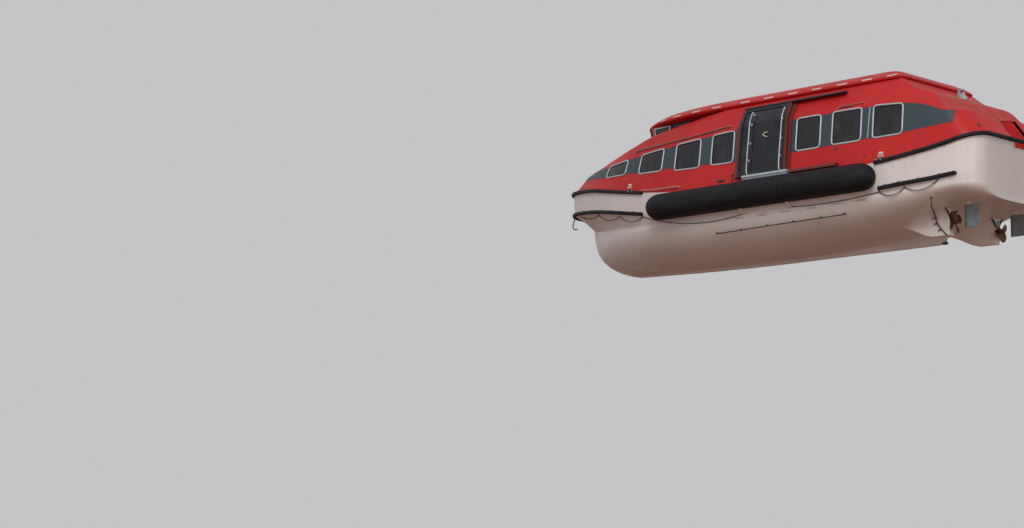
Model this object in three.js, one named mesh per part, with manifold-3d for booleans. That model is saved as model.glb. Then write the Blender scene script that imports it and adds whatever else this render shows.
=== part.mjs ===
// Enclosed lifeboat, 14.3 m long: white hull, red canopy with a helm position, twin screws and rudders.
// Millimetres. The origin is on the waterline, amidships, on the centreline; +X bow, +Y port, +Z up.
import * as THREE from "three";
import { mergeVertices } from "three/addons/utils/BufferGeometryUtils.js";
import Module from "manifold-3d";

const wasm = await Module();
wasm.setup();

// Driving dimensions
const GAP = 0.4; // between pieces that touch
const RUNNING_GAP = 0.4; // between a turning or sliding piece and its bearing
const SEAM_LAP = 5; // how far what is fitted outside is cleared past the seam of hull and canopy
const STERN_X = -7200;
const STERN_CORNER_R = 600;
const HULL_WALL = 100;
const BOW_WALL = 200;
const CANOPY_WALL = 60;
const SOLE_Z = 250;
const ROOF_Z = 3090;
const BEYOND = 8000; // past the end or side of the boat, for what cuts right through
const SIDES = [
  { side: "port", s: 1 },
  { side: "starboard", s: -1 },
];

// Lines of the hull at stations along the boat. bottomZ: canoe body on the centreline. bilge: widest point
// of the round bottom. strake: knuckle at the lower strake. sheer: gunwale. full: below 1 is a flat floor.
const HULL_LINES = [
  ["x", "bottomZ", "bilgeY", "bilgeZ", "strakeY", "strakeZ", "sheerY", "sheerZ", "full"],
  [-7200, -120, 2080, 220, 2110, 450, 2130, 1370, 0.45],
  [-6500, -130, 2090, 210, 2125, 410, 2150, 1205, 0.48],
  [-6000, -185, 2100, 200, 2140, 375, 2170, 1120, 0.5],
  [-5500, -320, 2110, 190, 2155, 350, 2190, 1055, 0.55],
  [-5000, -450, 2120, 185, 2170, 330, 2200, 1000, 0.62],
  [-4400, -580, 2130, 180, 2180, 295, 2210, 945, 0.7],
  [-3300, -720, 2145, 175, 2190, 270, 2220, 905, 0.75],
  [-1000, -810, 2160, 170, 2200, 255, 2230, 880, 0.8],
  [1000, -820, 2150, 180, 2190, 300, 2220, 920, 0.82],
  [2200, -810, 2080, 210, 2140, 400, 2195, 1000, 0.84],
  [3300, -800, 1930, 250, 2060, 550, 2130, 1125, 0.88],
  [4400, -785, 1620, 320, 1880, 735, 1950, 1305, 0.92],
  [5160, -755, 1320, 380, 1690, 860, 1770, 1440, 0.95],
  [5720, -620, 1000, 450, 1510, 930, 1570, 1520, 1],
  [6280, -350, 600, 550, 1280, 985, 1325, 1570, 1],
  [6500, -120, 380, 620, 1150, 1000, 1190, 1585, 1],
  [6600, 150, 250, 660, 1075, 1005, 1115, 1590, 1],
  [6660, 500, 150, 700, 1025, 1008, 1060, 1593, 1],
  [6720, 740, 130, 780, 965, 1010, 1000, 1597, 1],
  [6850, 820, 110, 860, 790, 1015, 830, 1605, 1],
  [7000, 870, 80, 905, 470, 1020, 500, 1615, 1],
  [7060, 890, 30, 925, 70, 1022, 80, 1620, 1],
];

// Lines of the canopy. knee: top of the window panel. rim: top of the sloping shoulder, edge of the roof.
const CANOPY_LINES = [
  ["x", "kneeY", "kneeZ", "rimY", "rimZ"],
  [-7200, 1990, 2010, 1900, 2030],
  [-6600, 2010, 2060, 1880, 2140],
  [-6500, 2013, 2076, 1870, 2190],
  [-6200, 2020, 2150, 1810, 2380],
  [-5860, 2028, 2239, 1750, 2560],
  [-5550, 2030, 2316, 1700, 2680],
  [-5300, 2030, 2372, 1675, 2750],
  [-5120, 2030, 2402, 1660, 2850],
  [-4900, 2030, 2430, 1660, 3010],
  [-4800, 2030, 2440, 1660, ROOF_Z],
  [-2000, 2030, 2460, 1660, ROOF_Z],
  [0, 2020, 2440, 1660, ROOF_Z],
  [600, 2011, 2419, 1660, ROOF_Z],
  [1100, 2000, 2395, 1620, 3055],
  [1600, 1977, 2365, 1580, 3005],
  [2200, 1933, 2327, 1520, 2945],
  [2900, 1853, 2281, 1455, 2865],
  [3460, 1766, 2244, 1400, 2790],
  [4250, 1598, 2206, 1240, 2630],
  [5110, 1358, 2170, 1020, 2440],
  [5780, 1125, 2125, 780, 2300],
  [6300, 870, 2060, 540, 2185],
  [6600, 670, 1980, 370, 2070],
  [6850, 430, 1860, 215, 1930],
  [7000, 210, 1750, 100, 1790],
  [7060, 50, 1670, 25, 1690],
];

// Stations of the lofts, closer where the ends turn.
const STATIONS = [
  -7200, -7170, -7080, -6900, -6600, -6200, -5860, -5550, -5300, -5120, -4950, -4800, -4400, -3300, -1700,
  0, 600, 1100, 1600, 2200, 2900, 3700, 4400, 5000, 5500, 5900, 6280, 6500, 6600, 6660, 6720, 6850, 6950,
  7020, 7060,
];

// Monotone cubic through one column of a table, as a function of x.
function line(table, name) {
  const column = table[0].indexOf(name);
  const xs = table.slice(1).map((row) => row[0]);
  const ys = table.slice(1).map((row) => row[column]);
  const slopes = xs.slice(1).map((x, i) => (ys[i + 1] - ys[i]) / (x - xs[i]));
  const tangents = xs.map((x, i) => {
    if (i === 0) return slopes[0];
    if (i === xs.length - 1) return slopes[i - 1];
    const a = slopes[i - 1];
    const b = slopes[i];
    return a * b <= 0 ? 0 : (2 * a * b) / (a + b);
  });
  return (x) => {
    const last = xs.length - 2;
    const found = xs.findIndex((start) => start > x) - 1;
    const i = found < 0 ? (x < xs[0] ? 0 : last) : found;
    const h = xs[i + 1] - xs[i];
    const t = Math.min(1, Math.max(0, (x - xs[i]) / h));
    const rise = ys[i + 1] - ys[i];
    const bend = (tangents[i] * h - rise) * (1 - t) - (tangents[i + 1] * h - rise) * t;
    return ys[i] + rise * t + bend * t * (1 - t);
  };
}

const hullLine = Object.fromEntries(HULL_LINES[0].slice(1).map((n) => [n, line(HULL_LINES, n)]));
const canopyLine = Object.fromEntries(CANOPY_LINES[0].slice(1).map((n) => [n, line(CANOPY_LINES, n)]));

// Half section of the hull, [y, z] from the centreline round to the sheer.
const BILGE_STEPS = 7;
function hullSection(x) {
  const at = (n) => hullLine[n](x);
  const points = [];
  for (let i = 0; i <= BILGE_STEPS; i++) {
    const angle = ((i / BILGE_STEPS) * Math.PI) / 2;
    const y = at("bilgeY") * Math.pow(Math.sin(angle), at("full"));
    points.push([y, at("bottomZ") + (at("bilgeZ") - at("bottomZ")) * (1 - Math.cos(angle))]);
  }
  points.push([at("strakeY"), at("strakeZ")], [at("sheerY"), at("sheerZ")]);
  return points;
}

// Half section of the canopy, [y, z] from the sheer up to the crown.
function canopySection(x) {
  const at = (n) => canopyLine[n](x);
  return [
    [hullLine.sheerY(x), hullLine.sheerZ(x) + GAP],
    [at("kneeY"), at("kneeZ")],
    [at("rimY"), at("rimZ")],
    [0, at("rimZ")],
  ];
}

// Moves a half section outwards by d, with mitred corners; its ends move square to the first and last edge.
function offsetSection(points, d) {
  const normals = points.slice(1).map(([y, z], i) => {
    const dy = y - points[i][0];
    const dz = z - points[i][1];
    const length = Math.hypot(dy, dz) || 1;
    return [dz / length, -dy / length];
  });
  return points.map(([y, z], i) => {
    const a = normals[Math.max(0, i - 1)];
    const b = normals[Math.min(normals.length - 1, i)];
    const scale = d / (1 + a[0] * b[0] + a[1] * b[1]);
    return [Math.max(0, y + (a[0] + b[0]) * scale), z + (a[1] + b[1]) * scale];
  });
}

// The stern: its corners are arcs in plan, and it leans forward above and below the sheer.
const RAKE_START_X = -5600;
const RAKE_BELOW = 120;
const RAKE_ABOVE = 0.75;
const RAKE_Z = 1370;
const STERN_HALF_BEAM = 2130;
function shapeStern([x, y, z]) {
  const into = Math.min(STERN_CORNER_R, x - STERN_X);
  const arc = Math.sqrt(STERN_CORNER_R ** 2 - (STERN_CORNER_R - into) ** 2);
  const squeeze = 1 - (STERN_CORNER_R - arc) / STERN_HALF_BEAM;
  const t = Math.min(1, Math.max(0, (RAKE_START_X - x) / (RAKE_START_X - STERN_X)));
  const rake = z > RAKE_Z ? (z - RAKE_Z) * RAKE_ABOVE : Math.min(1, (RAKE_Z - z) / RAKE_Z) * RAKE_BELOW;
  return [x + rake * t * t * (3 - 2 * t), y * squeeze, z];
}

// A fan over a convex end ring, and a ladder of level rungs over a mirrored one, as index triples.
const fan = (n) => Array.from({ length: n - 2 }, (_, i) => [0, i + 1, i + 2]);
function ladder(n, centreFirst) {
  const opposite = (i) => (centreFirst ? (n - i) % n : n - 1 - i);
  const rungs = Array.from({ length: (n - 1) / 2 }, (_, i) => [i, i + 1, opposite(i + 1), opposite(i)]);
  const faces = rungs.flatMap(([a, b, c, d]) => [
    [a, b, c],
    [a, c, d],
  ]);
  return faces.filter((face) => new Set(face).size === 3);
}

// A closed surface through rings of equal length. Its diagonals mirror across y = 0.
function loft(rings, cap = fan(rings[0].length)) {
  const n = rings[0].length;
  const vertices = rings.flat();
  const faces = [];
  rings.slice(1).forEach((_, r) => {
    for (let i = 0; i < n; i++) {
      const a = r * n + i;
      const b = r * n + ((i + 1) % n);
      const starboard = vertices[a][1] + vertices[b][1] < 0;
      faces.push(...(starboard ? [[a, b, a + n], [b, b + n, a + n]] : [[a, b, b + n], [a, b + n, a + n]]));
    }
  });
  const last = (rings.length - 1) * n;
  cap.forEach(([a, b, c]) => faces.push([a, c, b], [last + a, last + b, last + c]));
  const geometry = new THREE.BufferGeometry();
  geometry.setAttribute("position", new THREE.Float32BufferAttribute(vertices.flat(), 3));
  geometry.setIndex(faces.flat());
  return solid(geometry);
}

// A geometry as a solid whose faces point out.
function solid(geometry) {
  const bare = geometry.clone();
  ["normal", "uv"].forEach((name) => bare.deleteAttribute(name));
  const merged = mergeVertices(bare, 1e-3);
  const index = Array.from(merged.index.array);
  const p = merged.attributes.position.array;
  const corner = (i) => new THREE.Vector3().fromArray(p, index[i] * 3);
  let volume = 0;
  for (let i = 0; i < index.length; i += 3) volume += corner(i).dot(corner(i + 1).cross(corner(i + 2)));
  if (volume < 0) index.reverse();
  const mesh = new wasm.Mesh({ numProp: 3, vertProperties: p, triVerts: new Uint32Array(index) });
  return new wasm.Manifold(mesh);
}

const box = (x0, x1, y0, y1, z0, z1) =>
  solid(
    new THREE.BoxGeometry(x1 - x0, y1 - y0, z1 - z0).translate((x0 + x1) / 2, (y0 + y1) / 2, (z0 + z1) / 2),
  );

// Mirrored on the centreline, for the starboard side.
function onSide(shape, s) {
  return s > 0 ? shape : shape.mirror([0, 1, 0]);
}

// An [x, z] outline as a prism across the boat between two y planes.
function plate(outline, y0, y1) {
  const shape = new THREE.Shape(outline.map(([x, z]) => new THREE.Vector2(x, z)));
  const geometry = new THREE.ExtrudeGeometry(shape, { depth: y1 - y0, bevelEnabled: false });
  return solid(geometry.rotateX(Math.PI / 2).translate(0, y1, 0));
}

// A loft through half sections mirrored on the centreline, where a centre point is kept once.
function lofted(xs, halfSection) {
  const rings = xs.map((x) => {
    const half = halfSection(x);
    const mirrored = half.filter(([y]) => y > 1e-6).map(([y, z]) => [-y, z]);
    return [...half, ...mirrored.reverse()].map(([y, z]) => shapeStern([x, y, z]));
  });
  return loft(rings, ladder(rings[0].length, rings[0][0][1] === 0));
}

// The outer shape of the hull, grown by d and carried on upwards by lift.
const hullBody = (d, lift = 0) =>
  lofted(STATIONS, (x) => {
    const half = offsetSection(hullSection(x), d);
    const [y, z] = half[half.length - 1];
    return lift ? [...half, [y, z + lift]] : half;
  });

// The outer shape of the canopy, grown by d and carried on downwards by drop.
const canopyBody = (d, drop = 0, xs = STATIONS) =>
  lofted(xs, (x) => {
    const half = offsetSection(canopySection(x), d);
    const foot = hullLine.sheerZ(x) + GAP;
    half[0][1] = foot;
    return drop ? [[half[0][0], foot - drop], ...half] : half;
  });

// Hull: canoe body, keel and skegs, with the cabin well and two engine pockets cut in from above.
const KEEL_HALF = 65;
const KEEL_PROFILE = [
  [5300, -700],
  [5150, -800],
  [3000, -870],
  [1200, -905],
  [-4750, -905],
  [-4900, -820],
  [-4900, -450],
  [5300, -450],
];
const SKEG = { y: 1030, half: 90, aftX: -5740 };
const SKEG_PROFILE = [
  [-4000, -350],
  [-4200, -500],
  [-4410, -560],
  [-4730, -690],
  [-5050, -840],
  [-5220, -880],
  [SKEG.aftX, -880],
  [SKEG.aftX, -60],
  [-4000, -60],
];
const ENGINE = { x0: -5350, x1: -4250, half: 280, z0: -140, z1: 620 };
const ENGINE_POCKET_MARGIN = 60;
const WELL_STATIONS = [-5500, -5200, -4800, -4400, -3300, -1700, 0, 1100, 2000, 3000, 3700, 4400, 5000, 5300];
const WELL_BOW_X = 3000; // forward of this the well's wall is the bow's
const WELL_CURB = 250; // where the well's side turns from the sole to the hull's side
const RECESS = { x: -6150, half: 400, z: 1190 };
const RUDDER = {
  x: -6240,
  foreX: -6140,
  aftX: -6540,
  y: SKEG.y,
  topZ: -195,
  footZ: -735,
  stockR: 30,
  stockLap: 80,
  edgeHalf: 12,
  half: 28,
};
const RUDDER_PAD = { r: 85, z: -170, topZ: 100 };

// Half breadth of a section at a height.
function breadthAt(section, z) {
  const i = Math.max(1, section.findIndex((p) => p[1] >= z));
  const [a, b] = [section[i - 1], section[i]];
  return a[0] + ((b[0] - a[0]) * (z - a[1])) / (b[1] - a[1] || 1);
}

function wellSection(x) {
  const section = hullSection(x);
  const sheer = hullLine.sheerZ(x);
  const wall = x > WELL_BOW_X ? BOW_WALL : HULL_WALL;
  const heights = [SOLE_Z, SOLE_Z + WELL_CURB, sheer - 1];
  const sides = heights.map((z) => [breadthAt(section, z) - wall, z]);
  return [[0, SOLE_Z], ...sides, [sides[2][0], sheer + HULL_WALL]];
}

const cylinderZ = (r, z0, z1, x, y, n = 32) =>
  solid(new THREE.CylinderGeometry(r, r, z1 - z0, n).rotateX(Math.PI / 2).translate(x, y, (z0 + z1) / 2));

function makeHull() {
  let hull = hullBody(0).add(plate(KEEL_PROFILE, -KEEL_HALF, KEEL_HALF));
  hull = hull.subtract(lofted(WELL_STATIONS, wellSection));
  SIDES.forEach(({ s }) => {
    hull = hull.add(onSide(plate(SKEG_PROFILE, SKEG.y - SKEG.half, SKEG.y + SKEG.half), s));
    hull = hull.add(cylinderZ(RUDDER_PAD.r, RUDDER_PAD.z, RUDDER_PAD.topZ, RUDDER.x, s * RUDDER.y));
    const m = ENGINE_POCKET_MARGIN;
    const [y0, y1] = [SKEG.y - ENGINE.half - m, SKEG.y + ENGINE.half + m];
    hull = hull.subtract(onSide(box(ENGINE.x0 - m, ENGINE.x1 + m, y0, y1, ENGINE.z0 - GAP, SOLE_Z + 1), s));
  });
  return hull.subtract(box(-BEYOND, RECESS.x, -RECESS.half - GAP, RECESS.half + GAP, RECESS.z, ROOF_Z));
}

// Window outlines in side view, named from the bow: fore edge, aft edge, then foot and head at each edge.
const WINDOWS = [
  ["name", "foreX", "aftX", "foreFoot", "aftFoot", "foreHead", "aftHead"],
  ["1", 4950, 4120, 1810, 1780, 2110, 2170],
  ["2", 3500, 2640, 1700, 1660, 2210, 2260],
  ["3", 2120, 1280, 1600, 1565, 2285, 2320],
  ["4", 840, 140, 1570, 1560, 2345, 2375],
  ["5", -1920, -2630, 1580, 1580, 2400, 2400],
  ["6", -3030, -3870, 1590, 1590, 2410, 2405],
  ["7", -4260, -5090, 1595, 1600, 2395, 2330],
].slice(1);
const WINDOW_CORNER_R = 60;
const WINDOW_PROUD = 6;
const WINDOW_DEEP = 30;

// An outline with round corners, moved in by inset.
function roundedOutline(corners, r, inset = 0, steps = 3) {
  const points = [];
  const n = corners.length;
  corners.forEach((corner, i) => {
    const here = new THREE.Vector2(...corner);
    const before = new THREE.Vector2(...corners[(i + n - 1) % n]).sub(here).normalize();
    const after = new THREE.Vector2(...corners[(i + 1) % n]).sub(here).normalize();
    const apart = before.angleTo(after);
    const inward = before.clone().add(after).normalize();
    const centre = here.add(inward.clone().multiplyScalar((r + inset) / Math.sin(apart / 2)));
    const sweep = Math.PI - apart;
    const turn = Math.sign(before.cross(after));
    const facing = inward.clone().negate();
    for (let k = 0; k <= steps; k++) {
      const angle = turn * sweep * (k / steps - 0.5);
      const arm = facing.clone().rotateAround(new THREE.Vector2(), -angle);
      points.push(centre.clone().add(arm.multiplyScalar(r)).toArray());
    }
  });
  return points;
}

const windowCorners = ([, foreX, aftX, foreFoot, aftFoot, foreHead, aftHead]) => [
  [aftX, aftFoot],
  [foreX, foreFoot],
  [foreX, foreHead],
  [aftX, aftHead],
];

// Side doors: each leaf hangs outside the canopy and slides aft.
const DOOR = { foreX: -60, aftX: -1690, footZ: 1082, headZ: 2900, cornerR: 40, near: 62, far: 118 };
const DOORWAY = { foreX: -125, aftX: -1625, footZ: 1090, headZ: 2860, cornerR: 60 };
const DOOR_FRAME = 120;
const GLASS_INSET = 15;
const OUTBOARD_Y0 = 900;
const OUTBOARD_Y1 = 3200;

// Roof hatch and stern door
const HATCH = {
  x0: -3500,
  x1: -2800,
  half: 350,
  z0: 2900,
  z1: 3600,
  thick: 60,
  lip: 50,
  cornerR: 60,
  trunkMargin: 100, // the canopy is cut back this far round the hatch's mouth
};
const STERN_DOOR = { half: 300, z0: 1250, z1: 2100, thick: 45, lap: 40, clearance: 30 };

// The hole in the foredeck under the helm position
const HELM_WELL = { x0: 1500, x1: 3300, half: 1050, z0: 2400, z1: 3400 };

const doorOutline = ({ foreX, aftX, footZ, headZ, cornerR }, inset = 0) =>
  roundedOutline(
    [
      [aftX, footZ],
      [foreX, footZ],
      [foreX, headZ],
      [aftX, headZ],
    ],
    cornerR,
    inset,
  );

const INNER_STATIONS = [
  -7050, -6600, -6200, -5860, -5550, -5300, -5120, -4950, -4800, -3300, -1700, 0, 600, 1100, 1600, 2200,
  2900, 3700, 4400, 5000, 5500, 5900, 6200,
];

const recessBox = (wall) =>
  box(-BEYOND, RECESS.x + wall, -RECESS.half - wall, RECESS.half + wall, SOLE_Z, ROOF_Z);

// The canopy is made in two lengths that meet in the middle of the side doorways.
const CANOPY_JOINT_X = -875;

function makeCanopy() {
  const cavity = canopyBody(-CANOPY_WALL, CANOPY_WALL, INNER_STATIONS);
  let canopy = canopyBody(0).subtract(cavity).subtract(recessBox(CANOPY_WALL + GAP));
  SIDES.forEach(({ s }) => {
    WINDOWS.forEach((row) => {
      const outline = roundedOutline(windowCorners(row), WINDOW_CORNER_R, -GAP);
      canopy = canopy.subtract(onSide(plate(outline, OUTBOARD_Y0, OUTBOARD_Y1), s));
    });
    canopy = canopy.subtract(onSide(plate(doorOutline(DOORWAY), OUTBOARD_Y0, OUTBOARD_Y1), s));
  });
  const well = HELM_WELL;
  canopy = canopy.subtract(box(well.x0, well.x1, -well.half, well.half, well.z0, well.z1));
  const trunk = HATCH.half + HATCH.trunkMargin;
  const [x0, x1] = [HATCH.x0 - HATCH.trunkMargin, HATCH.x1 + HATCH.trunkMargin];
  canopy = canopy.subtract(box(x0, x1, -trunk, trunk, HATCH.z0, HATCH.z1));
  const half = (from, to) => canopy.intersect(box(from, to, -BEYOND, BEYOND, -BEYOND, BEYOND));
  return [half(CANOPY_JOINT_X, BEYOND), half(-BEYOND, CANOPY_JOINT_X - GAP)];
}

// Stern cockpit: the two side walls and the bulkhead of the recess at the stern, with the stern doorway.
function makeSternCockpit() {
  const walls = recessBox(CANOPY_WALL).subtract(recessBox(0)).intersect(canopyBody(0));
  const { half, z0, z1 } = STERN_DOOR;
  return walls.subtract(box(RECESS.x - CANOPY_WALL, RECESS.x + 2 * CANOPY_WALL, -half, half, z0, z1));
}

function makeWindows(material) {
  const skin = canopyBody(WINDOW_PROUD).subtract(canopyBody(WINDOW_PROUD - WINDOW_DEEP));
  return SIDES.flatMap(({ side, s }) =>
    WINDOWS.map((row) => {
      const outline = roundedOutline(windowCorners(row), WINDOW_CORNER_R);
      const prism = onSide(plate(outline, OUTBOARD_Y0, OUTBOARD_Y1), s);
      return piece("window_" + side + "_" + row[0], skin.intersect(prism), material);
    }),
  );
}

// A round rod between two points.
function rod(from, to, r, sides = 8) {
  const length = from.distanceTo(to);
  const geometry = new THREE.CylinderGeometry(r, r, length, sides);
  geometry.rotateX(Math.PI / 2).translate(0, 0, length / 2);
  const frame = new THREE.Object3D();
  frame.position.copy(from);
  frame.lookAt(to);
  frame.updateMatrix();
  return solid(geometry.applyMatrix4(frame.matrix));
}

const DOOR_RAIL = {
  r: 17,
  standOff: 85,
  foreX: -500,
  aftX: -1520,
  footZ: 1130,
  headZ: 2790,
  bracketR: 12,
  lowerPosts: [0.1, 0.4, 0.7],
  upperPost: 0.8,
};

function makeDoor({ side, s }, materials) {
  const skin = canopyBody(DOOR.far).subtract(canopyBody(DOOR.near));
  const across = (outline) => plate(outline, OUTBOARD_Y0, OUTBOARD_Y1);
  const glassOutline = doorOutline(DOOR, DOOR_FRAME);
  const opening = across(doorOutline(DOOR, DOOR_FRAME - GAP));
  const leaf = skin.intersect(across(doorOutline(DOOR))).subtract(opening);
  const pane = canopyBody(DOOR.far - GLASS_INSET).subtract(canopyBody(DOOR.near + GLASS_INSET));
  const glass = pane.intersect(across(glassOutline));
  return [
    piece("side_door_" + side, onSide(leaf, s), materials.frame),
    piece("door_glass_" + side, onSide(glass, s), materials.glass),
    ...["fore", "aft"].map((end) =>
      piece("door_rail_" + end + "_" + side, onSide(makeDoorRail(DOOR_RAIL[end + "X"]), s), materials.rail),
    ),
  ];
}

// A grab rail stands off the door's glass on four short brackets and bends with it at the knee.
function makeDoorRail(x) {
  const section = offsetSection(canopySection(x), DOOR.far + DOOR_RAIL.standOff);
  const foot = new THREE.Vector3(x, yOn(section, DOOR_RAIL.footZ), DOOR_RAIL.footZ);
  const knee = new THREE.Vector3(x, section[1][0], section[1][1]);
  const head = new THREE.Vector3(x, yOn(section, DOOR_RAIL.headZ), DOOR_RAIL.headZ);
  const bend = solid(new THREE.SphereGeometry(DOOR_RAIL.r, 8, 6).translate(knee.x, knee.y, knee.z));
  let rail = rod(foot, knee, DOOR_RAIL.r).add(rod(knee, head, DOOR_RAIL.r)).add(bend);
  const reach = DOOR_RAIL.standOff + DOOR.far - DOOR.near;
  const addPost = (from, to, t) => {
    const post = from.clone().lerp(to, t);
    const along = to.clone().sub(from).normalize();
    const inwards = new THREE.Vector3(0, -along.z, along.y);
    rail = rail.add(rod(post, post.clone().addScaledVector(inwards, reach), DOOR_RAIL.bracketR));
  };
  DOOR_RAIL.lowerPosts.forEach((t) => addPost(foot, knee, t));
  addPost(knee, head, DOOR_RAIL.upperPost);
  return rail.subtract(canopyBody(DOOR.far - GLASS_INSET + GAP));
}

// y of a canopy half section at a height, between its sheer and its rim.
function yOn(section, z) {
  const i = z > section[1][1] ? 1 : 0;
  const [a, b] = [section[i], section[i + 1]];
  return a[0] + ((b[0] - a[0]) * (z - a[1])) / (b[1] - a[1]);
}

// Door tracks: a rail under the roof edge, and a step at the sill that goes on aft as a narrow ledge.
const TOP_TRACK = { foreX: -120, aftX: -3260, z0: 2912, z1: 2965, far: 135 };
const SILL = { foreX: -330, aftX: -1880, z0: 1000, z1: 1081.6, far: 230, ledgeAftX: -3260, ledgeFar: 130 };

function makeTracks({ side, s }, materials) {
  const sideBand = (far, x0, x1, z0, z1) =>
    canopyBody(far).subtract(canopyBody(GAP)).intersect(box(x0, x1, OUTBOARD_Y0, OUTBOARD_Y1, z0, z1));
  const top = sideBand(TOP_TRACK.far, TOP_TRACK.aftX, TOP_TRACK.foreX, TOP_TRACK.z0, TOP_TRACK.z1);
  const step = sideBand(SILL.far, SILL.aftX, SILL.foreX, SILL.z0, SILL.z1);
  const ledge = sideBand(SILL.ledgeFar, SILL.ledgeAftX, SILL.aftX + 5, SILL.z0, SILL.z1);
  return [
    piece("door_track_" + side, onSide(top, s), materials.track),
    piece("door_sill_" + side, onSide(step.add(ledge), s), materials.sill),
  ];
}

// Roof: a thick rim that overhangs the shoulders and the windscreen, and inside it a raised crown.
const ROOF = { cornerR: 300, cornerSteps: 2, rimTopZ: 3180, crownZ: 3430, crownRun: 500 };
const ROOF_CORNERS = [
  [-4830, -1700],
  [500, -1700],
  [1600, -1650],
  [2400, -1560],
  [3150, -1390],
  [3700, -1160],
  [4150, -840],
  [4450, -450],
  [4450, 450],
  [4150, 840],
  [3700, 1160],
  [3150, 1390],
  [2400, 1560],
  [1600, 1650],
  [500, 1700],
  [-4830, 1700],
];

function slab(outline, z0, z1) {
  const shape = new THREE.Shape(outline.map(([x, y]) => new THREE.Vector2(x, y)));
  return solid(new THREE.ExtrudeGeometry(shape, { depth: z1 - z0, bevelEnabled: false }).translate(0, 0, z0));
}

function makeRoof() {
  const ring = (inset, z) =>
    roundedOutline(ROOF_CORNERS, ROOF.cornerR, inset, ROOF.cornerSteps).map(([x, y]) => [x, y, z]);
  const panel = loft([ring(0, ROOF_Z + GAP), ring(0, ROOF.rimTopZ), ring(ROOF.crownRun, ROOF.crownZ)]);
  return panel.subtract(box(HATCH.x0, HATCH.x1, -HATCH.half, HATCH.half, HATCH.z0, HATCH.z1));
}

function makeHatch() {
  const z0 = ROOF.crownZ + RUNNING_GAP;
  const { x0, x1, half, lip, cornerR, thick } = HATCH;
  const corners = [
    [x0 - lip, -half - lip],
    [x1 + lip, -half - lip],
    [x1 + lip, half + lip],
    [x0 - lip, half + lip],
  ];
  return slab(roundedOutline(corners, cornerR), z0, z0 + thick);
}

// Helm position: walls that stand on the sloping foredeck and carry the front of the roof. They draw together
// forwards to a front of three facets, which leans out towards its top.
const HELM = { z0: 2560, wall: 50, cornerR: 30, lean: 80 };
const HELM_PLAN = [
  [1150, -1440],
  [3640, -1110],
  [4120, -600],
  [4120, 600],
  [3640, 1110],
  [1150, 1440],
];
const HELM_SIDE_GLASS = [
  [1750, 3008],
  [3590, 2835],
  [3640, 3050],
  [1795, 3050],
];
const HELM_GLASS = { cornerR: 15, thick: 20, inset: 10 };
const WINDSCREEN = { x0: 3730, z0: 2780, z1: 3050, thick: 35 };

function helmBlock(inset, topZ = ROOF_Z) {
  const ring = (lean, z) => {
    const corners = HELM_PLAN.map(([x, y]) => [x > HELM_PLAN[0][0] ? x + lean : x, y]);
    return roundedOutline(corners, HELM.cornerR, inset, 1).map(([x, y]) => [x, y, z]);
  };
  return loft([ring(0, HELM.z0), ring(HELM.lean, topZ)]);
}

function makeHelm(materials) {
  const outer = helmBlock(0).subtract(canopyBody(GAP));
  const { x0, z0, z1, thick } = WINDSCREEN;
  const opening = (grow) => box(x0 - grow, BEYOND, -BEYOND, BEYOND, z0 - grow, z1 + grow);
  let walls = outer.subtract(helmBlock(HELM.wall, ROOF_Z + HELM.wall)).subtract(opening(GAP));
  const { inset, cornerR } = HELM_GLASS;
  const pane = helmBlock(inset).subtract(helmBlock(inset + HELM_GLASS.thick, ROOF_Z + inset));
  const glassPrism = (grow) => plate(roundedOutline(HELM_SIDE_GLASS, cornerR, -grow), OUTBOARD_Y0, OUTBOARD_Y1);
  const sideGlass = SIDES.map(({ side, s }) => {
    walls = walls.subtract(onSide(glassPrism(GAP), s));
    return piece("helm_glass_" + side, onSide(glassPrism(0), s).intersect(pane), materials.glass);
  });
  const screen = outer.subtract(helmBlock(thick, ROOF_Z + thick)).intersect(opening(0));
  return [
    piece("helm_walls", walls, materials.red),
    piece("windscreen", screen, materials.glass),
    ...sideGlass,
  ];
}

// Rubbing strakes: a bar carried outside a line of the hull. Its back leans out with the side above the line.
const STRAKE = { proud: 70, shoulder: 54, half: 50, faceHalf: 24, gap: 0.8 };
function strake(name, stations, turn) {
  const [yName, zName] = [name + "Y", name + "Z"];
  const path = stations.map(([x, s]) => {
    const [y, z] = [hullLine[yName](x), hullLine[zName](x)];
    return new THREE.Vector3(...shapeStern([x, s * y, z]));
  });
  const lean = ([x]) => {
    const rise = Math.max(1, hullLine.sheerZ(x) - hullLine[zName](x));
    return Math.max(0, hullLine.sheerY(x) - hullLine[yName](x)) / rise;
  };
  return loft(
    path.map((p, i) => {
      const before = path[Math.max(0, i - 1)];
      const after = path[Math.min(path.length - 1, i + 1)];
      const along = after.clone().sub(before).setZ(0).normalize();
      const out = new THREE.Vector3(along.y, -along.x, 0).multiplyScalar(turn);
      return [
        [STRAKE.gap, -STRAKE.half],
        [STRAKE.shoulder, -STRAKE.half],
        [STRAKE.proud, -STRAKE.faceHalf],
        [STRAKE.proud, STRAKE.faceHalf],
        [STRAKE.shoulder, STRAKE.half],
        [STRAKE.gap + lean(stations[i]) * STRAKE.half, STRAKE.half],
      ].map(([o, u]) => p.clone().addScaledVector(out, o).setZ(p.z + u).toArray());
    }),
  );
}

const BOW_STATIONS = STATIONS.filter((x) => x > 3300);
const UPPER_FORE_STATIONS = [3180, ...BOW_STATIONS];
const LOWER_FORE_STATIONS = [3250, ...BOW_STATIONS];
const STERN_STATIONS = STATIONS.filter((x) => x < -4400).reverse();
const UPPER_AFT_STATIONS = [-4320, ...STERN_STATIONS];
const TRANSOM_STATION_X = -6700; // the lower aft strakes stop where the stern's corners start to turn
const LOWER_AFT_STATIONS = [-4400, ...STERN_STATIONS.filter((x) => x > TRANSOM_STATION_X)];
const aroundEnd = (stations) => [
  ...stations.map((x) => [x, 1]),
  ...[...stations].reverse().map((x) => [x, -1]),
];

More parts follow.
